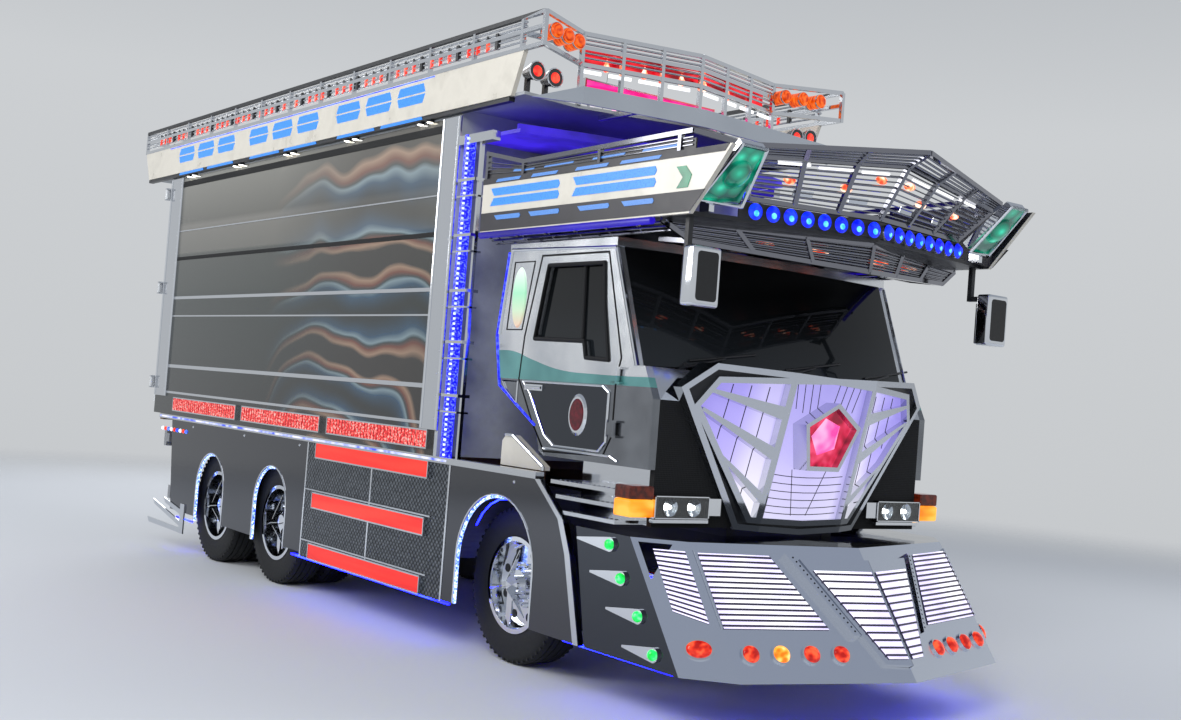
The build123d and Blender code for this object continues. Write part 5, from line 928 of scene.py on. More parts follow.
# Visor cage: fine stainless tubes, bent and welded. Red lamps, two bare plates and long white
# lamp slots hang inside the rods; red lamps behind the lower grille tint its tubes.
dark_tube = chrome("polished dark stainless tube", "#85868E", 0.08, 0.0006, 3.0)
dress(dark_tube, "visor_cage")
DECK_Z = 2.654
UPPER_RAILS = (((0, -1.80, 0.131), (0.868, -1.65, 0.129)), ((0, -1.984, 0.410), (1.01, -1.78, 0.321)))
GRILLE_RAILS = (
    ((0, -1.764, -0.013), (1.215, -1.36, -0.013)),
    ((0, -1.745, -0.165), (1.04, -1.41, -0.11)),
    ((0, -1.50, -0.12), (1.04, -1.15, -0.085)),
)
SIDE_RODS = ((0.4, 2.985, 3.14), (-0.03, 2.99, 3.055), (-1.6, 2.99, 3.075))


def on_visor(side, share, lift, rails=UPPER_RAILS):
    """Point between two cage rails: share along from the nose, lift from the first to the second."""
    spots = []
    for start, end in rails:
        x, station, height = [a + (b - a) * share for a, b in zip(start, end)]
        spots.append(Vector((side * x, at(station), DECK_Z + height)))
    return spots[0].lerp(spots[1], lift)


def side_tube(bm, side, x, line, radius, sides, closed=False):
    """Tube on the truck's side through (station, z) points, closed to a ring if asked."""
    line = [Vector((side * x, at(station), z)) for station, z in line]
    bend_tube(bm, [*line, *line[:2]] if closed else line, radius, sides)


reds, plates, whites, rails = (bmesh.new() for _ in range(4))
for side in (1, -1):
    for share, lift in ((0.72, 0.55), (0.33, 0.5), (0.12, 0.72)):
        spot = on_visor(side, share, lift) + Vector((0, 0.012, 0))
        ball(reds, Matrix.Translation(spot) @ Matrix.Diagonal((1.5, 0.6, 0.75, 1)), 0.03, 14, 8)
    for start, end, lift in ((0.62, 0.82, 0.9), (0.34, 0.56, 0.86), (0.1, 0.28, 0.84)):
        rod(whites, on_visor(side, start, lift), on_visor(side, end, lift), 0.008, 6)
    for share in (0.62, 0.22):
        far, near = on_visor(side, share + 0.07, 0.26), on_visor(side, share - 0.07, 0.26)
        tall = Vector((0, -0.008, 0.02))
        plate(plates, [far - tall, near - tall, near + tall, far + tall], Vector((0, 0.004, 0.0015)))
    for x, station, z in ((0.25, -1.6, 2.575), (0.6, -1.52, 2.58), (0.9, -1.42, 2.585)):
        rod(reds, (side * x - 0.06, at(station), z), (side * x + 0.06, at(station), z), 0.012, 8)
    for share in (0.3, 0.55, 0.78):
        line = [(station, low + (high - low) * share) for station, low, high in SIDE_RODS]
        side_tube(rails, side, 1.236, line, 0.005, 6)
    for x, z in ((1.19, 2.632), (1.165, 2.612), (1.13, 2.596)):
        rod(rails, (side * x, at(0.38), z), (side * x, at(-1.38), z), 0.007, 6)
    for step in range(7):
        y = at(0.3 - 0.28 * step)
        rod(rails, (side * 1.2, y, 2.645), (side * 1.12, y, 2.592), 0.006, 6)
    for pair in (UPPER_RAILS, GRILLE_RAILS[:2], GRILLE_RAILS[1:]):
        for step in range(5):
            lift = (step + 0.5) / 5
            rod(rails, on_visor(side, 0.0, lift, pair), on_visor(side, 1.0, lift, pair), 0.0045, 6)
piece("visor_side_rods", rails, dark_tube)
piece("visor_red_lamps", reds, hot_point)
piece("visor_blank_plates", plates, plate_chrome)
piece("visor_white_slots", whites, slot_white)

# Visor lamps: two leaning green corner lenses in chrome tube frames, pressed with facets, and
# the row of blue glass domes on its board, each with a painted highlight: a small glowing cyan
# disc low on one side.
LENS_STOPS = ((0.05, "#2CE0B4"), (0.3, "#0C9A78"), (0.7, "#04483A"))
lens_skin = {"Base Color": "#04382C", "Roughness": 0.06, "Coat Weight": 1.0, "Coat Roughness": 0.03}
green_glass, tree, shader = finish("faceted green lens", lens_skin)
way = add(tree, "ShaderNodeTexCoord")
facet = {"Vector": way.outputs["Object"], "Scale": 11.0, "Randomness": 0.9}
facets = add(tree, "ShaderNodeTexVoronoi", facet)
relief = add(tree, "ShaderNodeBump", {"Height": facets, "Strength": 0.8, "Distance": 0.01})
tones = add(tree, "ShaderNodeValToRGB", {"Fac": facets}, LENS_STOPS)
join(shader, {"Emission Strength": 1.0, "Emission Color": tones, "Normal": relief})
blue_glass = lit("cobalt glass dome", ("#0614D8", "#0A2CFF", "#1440FF"), 1.25, 20, 0.05)
cyan_painted_highlight = lit("painted cyan highlight", ("#2FA8FF", "#6FD2FF"), 1.5, 30, 0.1)
ROW_NOSE = Vector((0, at(-1.806), 2.679))
ROW_RUN = Vector((0.925, 0.162, 0)).normalized()
LENS_OUT = Vector((0.044, -0.69, -0.722))
LENS_CORNERS = (
    (1.172, -1.912, 2.995),
    (1.012, -1.92, 2.993),
    (0.948, -1.689, 2.724),
    (1.195, -1.635, 2.731),
)


def visor_lamp_part(centre, normal):
    """Lens, frame, glass dome or board, by place and facing."""
    if abs(centre.x) > 0.935:
        facing = Vector((math.copysign(1, centre.x) * normal.x, normal.y, normal.z))
        return 0 if facing.dot(LENS_OUT) > 0.9 and centre.z > 2.70 else 1
    offset = Vector((abs(centre.x), centre.y, centre.z)) - ROW_NOSE
    ahead = offset.dot(Vector((ROW_RUN.y, -ROW_RUN.x, 0)))
    if ahead > 0.024:
        return 2
    return 1 if ahead > 0.002 else 3


dress_faces("corner_lamps", (green_glass, plate_chrome, blue_glass, dark_strip), visor_lamp_part)
tubes, highlight_spots, domes = bmesh.new(), bmesh.new(), bmesh.new()
for side in (1, -1):
    ring = [Vector((side * x, at(station), z)) for x, station, z in LENS_CORNERS]
    bend_tube(tubes, [*ring, *ring[:2]], 0.011, 8)
    place = Matrix.Translation(sum(ring, Vector()) / 4) @ Matrix.Rotation(math.radians(46), 4, "X")
    ball(domes, place @ Matrix.Diagonal((1, 0.45, 1.2, 1)), 0.075, 14, 9)
    run = Vector((side * ROW_RUN.x, ROW_RUN.y, 0))
    ahead = UP.cross(run) * -side
    # The cyan spot is a painted highlight, set down and to the same side on both sides of the truck.
    for step in range(8):
        spot = ROW_NOSE + UP * 0.037 + run * (0.113 * (step + 0.5))
        low = spot + ahead * 0.0445 + Vector((-0.008, 0, -0.012))
        rod(highlight_spots, low, low + ahead * 0.003, 0.017, 14, 0.010)
piece("corner_lens_frames", tubes, plate_chrome)
smooth(piece("corner_lens_domes", domes, green_glass))
smooth(piece("dome_painted_highlights", highlight_spots, cyan_painted_highlight))

# Cab shell: steel panels, chromed and polished above and below; below the band the same chrome
# is painted darker, as painted shade. A teal enamel band with a curved upper edge runs from the
# back panel over the door and drops towards the front.
TEAL_TOP = ((-1.3, 1.80), (-0.75, 1.80), (-0.4, 1.815), (-0.1, 1.87), (0.1, 1.915), (0.25, 1.92))
TEAL_FOOT = 1.745
CAB_LIT_SHADED_AND_TEAL_CODES = (("#C9CDD3", "#E3E5E8"), ("#6A6D73", "#83878D"), ("#3F7474", "#558D8B"))
skin = {"Coat Weight": 0.5, "Coat Roughness": 0.05}
cab_skin, tree, shader = finish("chromed cab panel with teal band and painted shade", skin)
way = add(tree, "ShaderNodeTexCoord")
spot = add(tree, "ShaderNodeSeparateXYZ", {"Vector": way.outputs["Object"]})
start, end = TEAL_TOP[0][0], TEAL_TOP[-1][0]
span = {"Value": spot.outputs["Y"], "From Min": at(start), "From Max": at(end)}
bent = add(tree, "ShaderNodeFloatCurve", {"Value": add(tree, "ShaderNodeMapRange", span)})
line = bent.mapping.curves[0].points
for index, (station, z) in enumerate(TEAL_TOP):
    place = ((station - start) / (end - start), z - 1.0)
    if index < 2:
        line[index].location = place
    else:
        line.new(*place)
bent.mapping.update()
edge = add(tree, "ShaderNodeMath", {0: bent, 1: 1.0}, operation="ADD")
below = add(tree, "ShaderNodeMath", {0: spot.outputs["Z"], 1: edge}, operation="LESS_THAN")
over = add(tree, "ShaderNodeMath", {0: spot.outputs["Z"], 1: TEAL_FOOT}, operation="GREATER_THAN")
band = add(tree, "ShaderNodeMath", {0: below, 1: over}, operation="MULTIPLY")
cloud = add(tree, "ShaderNodeTexNoise", {"Vector": way.outputs["Object"], "Scale": 2.5, "Detail": 3.0})
# The chrome's lower tones are darker than its upper ones: painted shade, a shaded copy of one chrome.
upper, lower, teal = (
    add(tree, "ShaderNodeValToRGB", {"Fac": cloud}, ((0.35, dim), (0.65, pale))) for dim, pale in CAB_LIT_SHADED_AND_TEAL_CODES
)
shade = add(tree, "ShaderNodeMix", {"Factor": over, 6: lower, 7: upper}, data_type="RGBA")
paint = add(tree, "ShaderNodeMix", {"Factor": band, 6: shade.outputs[2], 7: teal}, data_type="RGBA")
metal = add(tree, "ShaderNodeMapRange", {"Value": band, "To Min": 0.92, "To Max": 0.1})
gloss = add(tree, "ShaderNodeMapRange", {"Value": cloud, "To Min": 0.1, "To Max": 0.26})
join(shader, {"Base Color": paint.outputs[2], "Metallic": metal, "Roughness": gloss})
dress(cab_skin, "cab_sides", "cab_door_left", "cab_door_right", "cab_roof", "cab_back")


# Cab glass and doors: tinted laminated glass in black rubber, with a divider bar. Each door has
# a dark mirror sheet with a bright edge, a chromed pull, and an oval ruby boss.
def height_tones(tree, low, high, stops):
    """Colours that change with the height above the road, between two heights."""
    way = add(tree, "ShaderNodeTexCoord")
    spot = add(tree, "ShaderNodeSeparateXYZ", {"Vector": way.outputs["Object"]})
    rise = add(tree, "ShaderNodeMapRange", {"Value": spot.outputs["Z"], "From Min": low, "From Max": high})
    return add(tree, "ShaderNodeValToRGB", {"Fac": rise}, stops)


def oval(bm, side, centre, radii, depth, squash, sides):
    """Oval disc on the truck's side at (x, station, z), drawn in from its first radius to its second."""
    x, station, z = centre
    turned = Matrix.Rotation(math.radians(90 * side), 4, "Y") @ Matrix.Diagonal((*squash, 1, 1))
    cone(bm, Matrix.Translation((side * x, at(station), z)) @ turned, radii, depth, sides)


GLASS_STOPS = ((0.0, "#1C2024"), (0.5, "#101214"), (1.0, "#08090A"))
glass_skin = {"Roughness": 0.04, "IOR": 1.5, "Specular IOR Level": 0.3}
tinted, tree, shader = finish("tinted laminated glass", glass_skin)
join(shader, {"Base Color": height_tones(tree, 1.86, 2.54, GLASS_STOPS)})
dress(tinted, "windscreen", "door_glass_left", "door_glass_right")
ruby_boss = lit("ruby glass boss", ("#4A0716", "#7E1028"), 0.45, 30, 0.1)
# This dark tint dresses the door sheets, and on the bumper's flanks it is painted shade.
dark_mirror_and_painted_shade = chrome("dark mirror stainless and painted shade", "#4C4F55", 0.06, 0.002, 4.0)
WINDOW = (
    (-0.216, 2.44),
    (-0.12, 1.996),
    (-0.626, 1.988),
    (-0.653, 1.892),
    (-0.87, 1.884),
    (-0.80, 2.2),
    (-0.77, 2.44),
)
DOOR = (
    (-0.30, 1.327),
    (-0.15, 1.50),
    (0.021, 1.745),
    (-0.006, 2.011),
    (-0.135, 2.50),
    (-0.80, 2.50),
    (-0.985, 1.90),
    (-0.95, 1.77),
    (-0.95, 1.463),
    (-0.88, 1.345),
)
MIRROR_SHEET = (
    (-0.03, 1.735),
    (-0.12, 1.66),
    (-0.30, 1.42),
    (-0.40, 1.365),
    (-0.84, 1.365),
    (-0.90, 1.42),
    (-0.90, 1.70),
    (-0.84, 1.735),
)
for side_name, side in SIDES:
    body = f"door_{side_name}"
    seals, trims, mirror, glow = (bmesh.new() for _ in range(4))
    side_tube(seals, side, 1.1215, WINDOW, 0.013, 8, True)
    rod(seals, (side * 1.101, at(-0.585), 1.99), (side * 1.101, at(-0.56), 2.44), 0.012, 8)
    side_tube(seals, side, 1.1205, DOOR, 0.0045, 6, True)
    side_plate(mirror, side, 1.12, MIRROR_SHEET, 0.003)
    side_tube(trims, side, 1.1235, MIRROR_SHEET, 0.008, 8, True)
    grip = Vector((side * 1.1245, at(-0.06), 1.70))
    box(trims, grip - Vector((0.006, 0.19, 0.018)), grip + Vector((0.006, 0.0, 0.018)))
    rod(trims, grip + Vector((side * 0.012, -0.185, 0)), grip + Vector((side * 0.012, -0.02, 0)), 0.009, 10)
    oval(trims, side, (1.128, -0.62, 1.56), (0.09, 0.078), 0.010, (1.35, 1), 32)
    oval(glow, side, (1.1352, -0.62, 1.56), (0.07, 0.062), 0.006, (1.35, 1), 32)
    piece(f"door_seals_{side_name}", seals, rubber_strip, body)
    piece(f"door_mirror_sheet_{side_name}", mirror, dark_mirror_and_painted_shade, body)
    piece(f"door_trims_{side_name}", trims, plate_chrome, body)
    piece(f"door_boss_{side_name}", glow, ruby_boss, body)

# Cab outside trim: bright gutters and mouldings, a panel seam, an LED tube down the rear edge
# and along the chine, an oval ornament of backlit frosted plastic, and the fender's sheet.
ORNAMENT_STOPS = ((0.0, "#F0906A"), (0.3, "#BFD9A6"), (0.6, "#6FE0A0"), (1.0, "#F4FFF4"))
frost_skin = {"Base Color": "#8FA096", "Roughness": 0.3, "Emission Strength": 0.65}
frosted, tree, shader = finish("backlit frosted panel", frost_skin)
join(shader, {"Emission Color": height_tones(tree, 2.06, 2.42, ORNAMENT_STOPS)})
cab_led = lit("blue LED tube on the cab", ("#0C10E8", "#1E2CFF", "#4A5CFF"), 1.8, 40)
fender_cream = coat("cream fender enamel", {"Coat Weight": 0.5}, ("#B4B0A6", "#C6C2B8"), (0.28, 0.4), 4)
CAB_REAR_EDGE = ((0.229, 2.535), (0.304, 2.01), (0.233, 1.70), (-0.186, 1.474))
PANEL_SEAM = ((0.16, 2.47), (0.20, 2.05), (0.03, 2.05), (-0.06, 2.47))
FENDER = ((0.06, 1.40), (-0.02, 1.40), (-0.36, 1.235), (-0.36, 1.212), (0.10, 1.212), (0.10, 1.36))
MOULDINGS = (
    # distance from the middle, (station, z) points, radius, sides, closed
    (1.122, ((0.20, 1.73), (0.03, 1.73), (0.03, 1.60), (0.16, 1.68)), 0.005, 6, True),
    (1.1215, ((-0.87, 2.527), (0.2, 2.55), (0.28, 2.02)), 0.010, 8, False),
    (1.116, ((-0.87, 2.52), (-1.125, 1.86)), 0.014, 8, False),
    (1.122, ((-0.30, 1.345), (-0.95, 1.345), (-1.02, 1.32)), 0.009, 8, False),
    (1.158, FENDER[:4], 0.010, 8, False),
)
seams, tubes, panels, frames, fenders = (bmesh.new() for _ in range(5))
for side in (1, -1):
    side_tube(tubes, side, 1.122, CAB_REAR_EDGE, 0.008, 6)
    side_tube(seams, side, 1.1205, PANEL_SEAM, 0.004, 6, True)
    oval(panels, side, (1.1235, 0.085, 2.25), (0.19, 0.18), 0.008, (1.0, 0.38), 36)
    for moulding in MOULDINGS:
        side_tube(frames, side, *moulding)
    side_plate(fenders, side, 1.105, FENDER, 0.05)
piece("cab_panel_seams", seams, rubber_strip)
piece("cab_led_tubes", tubes, cab_led)
piece("cab_lit_ornaments", panels, frosted)
piece("cab_bright_trims", frames, plate_chrome)
piece("cab_fender_sheets", fenders, fender_cream)

# Wipers: three pressed steel arms in black, each with a rubber blade that follows the curve of
# the windscreen, parked low.
SCREEN_FOOT = (-1.125, 1.86)
SCREEN_LEAN = 0.255 / 0.675
SCREEN_HALF = 1.07
SCREEN_BOW = 0.08


def on_screen(x, z, lift):
    """Point just off the curved windscreen, at x and z."""
    bow = SCREEN_BOW * (1 - (x / SCREEN_HALF) ** 2)
    return Vector((x, at(SCREEN_FOOT[0]) + (z - SCREEN_FOOT[1]) * SCREEN_LEAN - bow - lift, z))


bm = bmesh.new()
for x in (-0.82, -0.1, 0.62):
    foot = on_screen(x, 1.875, 0.03)
    rod(bm, foot, on_screen(x + 0.30, 1.945, 0.025), 0.009, 6, 0.006)
    blade = [on_screen(x + 0.05 + 0.125 * step, 1.915 + 0.018 * step, 0.012) for step in range(5)]
    bend_tube(bm, blade, 0.007, 6)
    rod(bm, foot + Vector((0, 0.03, -0.012)), foot + Vector((0, -0.012, 0.014)), 0.018, 10)
piece("wipers", bm, cage_black)

# Cab inside: dark moulded dashboard and fabric seats, seen dimly through the tinted glass.
# The weave is drawn as an even fine grain.
cloth_codes = ("#17181A", "#2A2B2E")
cloth_name = "woven seat fabric and moulded dash"
dress(coat(cloth_name, {"Sheen Weight": 0.3}, cloth_codes, (0.7, 0.85), 90, 0.0008), "cab_interior")

# Cab front: black expanded mesh, matt, on both sides of the shield, with a polished cowl
# above it. The mesh has 11 mm diamonds.
MESH_STOPS = ((0.2, "#060607"), (0.5, "#1A1B1D"))
black_mesh, tree, shader = finish("black expanded mesh", {"Roughness": 0.75, "Specular IOR Level": 0.3})
way = add(tree, "ShaderNodeTexCoord")
diamond = {"Vector": way.outputs["Object"], "Scale": 90.0, "Randomness": 0.05}
diamonds = add(tree, "ShaderNodeTexVoronoi", diamond)
relief = add(tree, "ShaderNodeBump", {"Height": diamonds, "Strength": 0.6, "Distance": 0.002})
tones = add(tree, "ShaderNodeValToRGB", {"Fac": diamonds}, MESH_STOPS)
join(shader, {"Base Color": tones, "Normal": relief})
dress_faces("cab_front", (black_mesh, stainless), lambda c, n: 1 if c.z > 1.69 else 0)

# Gap columns: clear tubes over chains of blue LEDs between cab and box, held to a square
# stainless post by pairs of collars.
chain_blue = lit("blue LED chain", ("#0A0CE0", "#1818FF", "#6A7CFF"), 1.5, 55, 0.2, (1, 1, 1.4))
chain_white = lit("white-blue LED", ("#8FA0FF", "#C9D2FF"), 2.2, 30)


def column_part(centre, normal):
    """Blue for the round tube, polished for the post, the collars and the top bracket."""
    off = Vector((abs(centre.x) - 1.232, centre.y - at(0.63)))
    return 1 if 0.03 < off.length < 0.0385 and abs(normal.z) < 0.5 else 0


dress_faces("gap_columns", (stainless, chain_blue), column_part)
bm, rings = bmesh.new(), bmesh.new()
for side in (1, -1):
    for step in range(64):
        spot = Vector((side * 1.264, at(0.606), 1.22 + 0.0325 * step))
        rod(bm, spot, spot + UP * 0.014, 0.008, 6)
    for z in (1.61, 1.954, 2.285, 2.643, 3.001):
        block(rings, side, (1.19, 1.277), (0.468, 0.675), (z - 0.112, z - 0.1))
piece("column_led_chains", bm, chain_white)
piece("column_second_collars", rings, stainless)

# Shield: a pentagon emblem and two wings in polished stainless bars over lit acrylic. The
# acrylic is lavender, white-hot beside the struts, and carries fine engraved lines.
SHIELD_RISE = Vector((0, -0.245, 1.0))
SHIELD_FOOT = Vector((0, at(-1.345), 0.94))
SHIELD_FLAT_X = 0.33
FLAT_OUT = Vector((1, 0, 0)).cross(SHIELD_RISE).normalized()
WING_OUT = Vector((0.67, 0.19, 0)).cross(SHIELD_RISE).normalized()
PANEL_LIFT = -0.0445


def shield_out(x):
    """Facing of the shield's front at x: of its flat middle, or of the wing on that side."""
    wing = Vector((math.copysign(WING_OUT.x, x), WING_OUT.y, WING_OUT.z))
    return FLAT_OUT if abs(x) < SHIELD_FLAT_X else wing


def on_shield(x, z, lift=PANEL_LIFT):
    """Point of the shield's leaning front that shows at x and z, lifted off it."""
    out = shield_out(x)
    along = x - math.copysign(SHIELD_FLAT_X, x)
    y = SHIELD_FOOT.y - (out.x * along + out.z * (z - SHIELD_FOOT.z)) / out.y
    return Vector((x, y, z)) + out * lift


def shield_part(centre, normal):
    """Ruby field inside the emblem, black in the ring's groove, polished elsewhere."""
    out = shield_out(centre.x)
    depth = (centre - on_shield(centre.x, centre.z, 0.0)).dot(out)
    if abs(depth - 0.015) < 0.002 and abs(centre.x) < 0.21 and centre.z > 1.35:
        return 1
    return 2 if abs(depth + 0.028) < 0.002 and normal.dot(out) > 0.9 else 0


ruby = lit("ruby glass field", ("#8E0A2C", "#D81A48", "#FF4A78"), 0.9, 12, 0.08)
gem_pink = lit("rose glass jewel", ("#FF3E9A", "#FF79BE", "#FFB2DA"), 1.15, 9, 0.06)
dress_faces("shield_frame", (stainless, ruby, tray_black), shield_part)
GLOW_ACROSS = (
    (0.0, "#D9D6F4"),
    (0.26, "#E2DFFA"),
    (0.33, "#B9B4E2"),
    (0.37, "#FFFFFF"),
    (0.46, "#FFFFFF"),
    (0.58, "#D8D2FA"),
    (1.0, "#B2ABE6"),
)
GLOW_UP = ((0.0, "#FFFFFF"), (0.3, "#F2EEFF"), (0.55, "#DCD6FC"), (1.0, "#C2BBF0"))
glow_skin = {"Base Color": "#4A4664", "Roughness": 0.18, "Emission Strength": 1.0}
acrylic, tree, shader = finish("backlit lavender acrylic", glow_skin)
way = add(tree, "ShaderNodeTexCoord")
spot = add(tree, "ShaderNodeSeparateXYZ", {"Vector": way.outputs["Object"]})
off = add(tree, "ShaderNodeMath", {0: spot.outputs["X"]}, operation="ABSOLUTE")
across = add(tree, "ShaderNodeValToRGB", {"Fac": off}, GLOW_ACROSS)
both = {"Factor": 1.0, 6: across, 7: height_tones(tree, 1.0, 1.8, GLOW_UP)}
mixed = add(tree, "ShaderNodeMix", both, data_type="RGBA", blend_type="MULTIPLY")
join(shader, {"Emission Color": mixed.outputs[2]})
dress(acrylic, "shield_panel")
FIELD_LINES = ((1.3, 0.29), (1.255, 0.295), (1.21, 0.3), (1.165, 0.3), (1.12, 0.3), (1.08, 0.3))
FIELD_DIP = 0.015
bm, facets = bmesh.new(), bmesh.new()
for side in (1, -1):
    for x, low in ((0.47, 1.16), (0.58, 1.33), (0.69, 1.48)):
        rod(bm, on_shield(side * x, low), on_shield(side * (x - 0.02), 1.79), 0.003, 6)
    for step in range(4):
        x = 0.05 + 0.06 * step
        rod(bm, on_shield(side * x, 1.62 + 0.02 * step), on_shield(side * (x + 0.03), 1.83), 0.0025, 6)
    for z, reach in FIELD_LINES:
        shares = (0, 0.34, 0.67, 1)
        line = [on_shield(side * reach * share, z - FIELD_DIP * (1 - share**2)) for share in shares]
        bend_tube(bm, line, 0.0025, 6)
    rod(bm, on_shield(side * 0.06, 1.06), on_shield(side * 0.14, 1.33), 0.0025, 6)
place = aimed(on_shield(0.001, 1.545, 0.022), FLAT_OUT) @ Matrix.Rotation(math.radians(90), 4, "Z")
cone(facets, place, (0.135, 0.062), 0.028, 5)
piece("shield_engraved_lines", bm, tray_black)
piece("shield_emblem_jewel", facets, gem_pink)

# Front lamps: black moulded housings with two chromed reflectors each behind clear glass, and
# ribbed amber turn lamps at the corners, red-brown above.
HEAD_X = (0.69, 1.085)
HEAD_Z = (1.04, 1.165)
BEZEL = 0.006
BEZEL_SIDE = 0.008
LAMP_FACE = -1.33
LAMP_BACK = -1.2905
TURN_X = (1.09, 1.2545)
TURN_BACK = -1.1805
housing = coat("black moulded housing", {"IOR": 1.49}, ("#0B0B0D", "#17181A"), (0.3, 0.5), 60)
turn_amber = lit("amber turn lens", ("#E8780E", "#FF9A1E", "#FFB848"), 1.2, 5, 0.12, (1, 1, 3))
turn_brown = lit("red-brown turn lens", ("#4A1408", "#8A2C12"), 0.35, 30, 0.1)
clear_skin = {"Roughness": 0.02, "IOR": 1.5, "Transmission Weight": 1.0, "Base Color": "#EEF2F4"}
clear_glass, tree, shader = finish("clear lamp glass", clear_skin)
way = add(tree, "ShaderNodeTexCoord")
ripple = add(tree, "ShaderNodeTexWave", {"Vector": way.outputs["Object"], "Scale": 18.0})
flute = {"Height": ripple.outputs["Fac"], "Strength": 0.25, "Distance": 0.001}
join(shader, {"Normal": add(tree, "ShaderNodeBump", flute)})
shells, bowls, bulbs, edges, ambers, browns, glass = (bmesh.new() for _ in range(7))
for side in (1, -1):
    block(shells, side, HEAD_X, (LAMP_FACE + 0.03, LAMP_BACK), HEAD_Z)
    for z in (HEAD_Z[0], HEAD_Z[1] - BEZEL):
        block(edges, side, HEAD_X, (LAMP_FACE, LAMP_FACE + 0.03), (z, z + BEZEL))
    for x in (HEAD_X[0], HEAD_X[1] - BEZEL_SIDE):
        block(edges, side, (x, x + BEZEL_SIDE), (LAMP_FACE, LAMP_FACE + 0.03), HEAD_Z)
    x = (HEAD_X[0] + BEZEL_SIDE, HEAD_X[1] - BEZEL_SIDE)
    block(glass, side, x, (LAMP_FACE + 0.002, LAMP_FACE + 0.006), (HEAD_Z[0] + BEZEL, HEAD_Z[1] - BEZEL))
    for x in (0.795, 0.965):
        mouth = Vector((side * x, at(LAMP_FACE) + 0.012, 1.1025))
        turned = Matrix.Rotation(math.radians(-90), 4, "X")
        place = Matrix.Translation(mouth + Vector((0, 0.0085, 0))) @ turned
        cone(bowls, place, (0.05, 0.018), 0.017, 24, False)
        rod(bowls, mouth + Vector((0, 0.0165, 0)), mouth + Vector((0, 0.0175, 0)), 0.019, 16)
        ball(bulbs, mouth + Vector((0, 0.01, 0)), 0.013, 12, 8)
    block(edges, side, HEAD_X, (-1.325, LAMP_BACK), (1.018, 1.036))
    block(edges, side, (0.60, 0.685), (-1.322, LAMP_BACK), (1.06, 1.155))
    soften(ambers, block(ambers, side, TURN_X, (LAMP_FACE, TURN_BACK), (1.046, 1.14)), 0.012, 3)
    soften(browns, block(browns, side, TURN_X, (LAMP_FACE + 0.003, TURN_BACK), (1.141, 1.2145)), 0.012, 3)
    for z in (1.062, 1.078, 1.094, 1.11, 1.126):
        block(ambers, side, (1.1, 1.2445), (LAMP_FACE - 0.003, LAMP_FACE + 0.002), (z, z + 0.006))
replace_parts(piece("headlamp_housings", shells, housing), "front_lamps")
smooth(piece("headlamp_reflectors", bowls, plate_chrome))
piece("headlamp_bulbs", bulbs, white_tube)
piece("headlamp_bezels", edges, plate_chrome)
piece("headlamp_glass", glass, clear_glass)
piece("turn_lamps_amber", ambers, turn_amber)
piece("turn_lamps_upper", browns, turn_brown)

# Bumper: folded mirror stainless over a steel frame, in tints chosen by facing. The flanks are
# painted dark, a painted reflection of the road; the leaning front facets are painted bright, a
# painted reflection of the sky; and a polished step edges the nose wedge.
BUMPER_FOOT = 0.295
BUMPER_RISE = Vector((0, 0.47, 0.65))
FRONT_ENDS = ((0, -2.287), (1.02, -2.023))
CORNER_ENDS = ((1.02, -2.023), (1.24, -1.80))


def on_bumper(side, ends, x, z, lift=0.0):
    """Point of a leaning facet that shows at x, z, lifted off it, and the facet's facing."""
    foot, end = [Vector((side * reach, at(station), BUMPER_FOOT)) for reach, station in ends]
    out = (end - foot).cross(BUMPER_RISE).normalized() * side
    y = foot.y - (out.x * (side * x - foot.x) + out.z * (z - foot.z)) / out.y
    return Vector((side * x, y, z)) + out * lift, out


def bumper_depth(centre):
    """How far a point stands off the facet it is on, and that facet's facing."""
    side = 1 if centre.x > 0 else -1
    ends = CORNER_ENDS if abs(centre.x) > 1.022 else FRONT_ENDS
    spot, out = on_bumper(side, ends, abs(centre.x), centre.z)
    return (centre - spot).dot(out), out


def bumper_part(centre, normal):
    """Front facets painted bright and flanks and underside painted dark, as painted reflection; the step at
    the nose polished.
    """
    depth, out = bumper_depth(centre)
    facing = normal.dot(out)
    if facing > 0.95:
        return 1
    return 2 if 0.002 < depth < 0.038 and facing < 0.3 else 0


def louvre_part(centre, normal):
    """Glow on the trays, slats in grey."""
    depth, out = bumper_depth(centre)
    if abs(centre.x) < 0.378 and centre.z < 0.83:
        depth -= 0.026
    return 0 if abs(depth - 0.006) < 0.0012 and normal.dot(out) > 0.9 else 1


def bumper_lamp_part(centre, normal):
    """Polished bodies, red domes with one orange, and green lenses at the teardrops' heads."""
    if abs(centre.x) > 1.2565 and centre.y > at(-1.65) and abs(normal.y) < 0.98:
        return 2
    if abs(centre.x) > 1.235 or bumper_depth(centre)[0] < 0.0125:
        return 0
    return 3 if -0.81 < centre.x < -0.66 else 1


# The facets' tint is brighter and bluer than the stainless: a painted reflection of the sky.
facet_painted_bright = chrome("mirror stainless facet painted bright", "#DDE3F0", 0.16, 0.0008, 1.4)
dress_faces("bumper", (dark_mirror_and_painted_shade, facet_painted_bright, stainless), bumper_part)
TRAY_STOPS = ((0.36, "#B9AEE0"), (0.52, "#DCD2FA"), (0.66, "#FFFFFF"))
glow_skin = {"Base Color": "#C9C6D8", "Roughness": 0.3, "Emission Strength": 1.0}
louvre_glow, tree, shader = finish("lavender lamp tray", glow_skin)
way = add(tree, "ShaderNodeTexCoord")
patch = add(tree, "ShaderNodeTexNoise", {"Vector": way.outputs["Object"], "Scale": 3.5, "Detail": 1.0})
join(shader, {"Emission Color": add(tree, "ShaderNodeValToRGB", {"Fac": patch}, TRAY_STOPS)})
slat_grey = chrome("lacquered slat", "#6A6478", 0.3)
dress_faces("bumper_louvres", (louvre_glow, slat_grey), louvre_part)
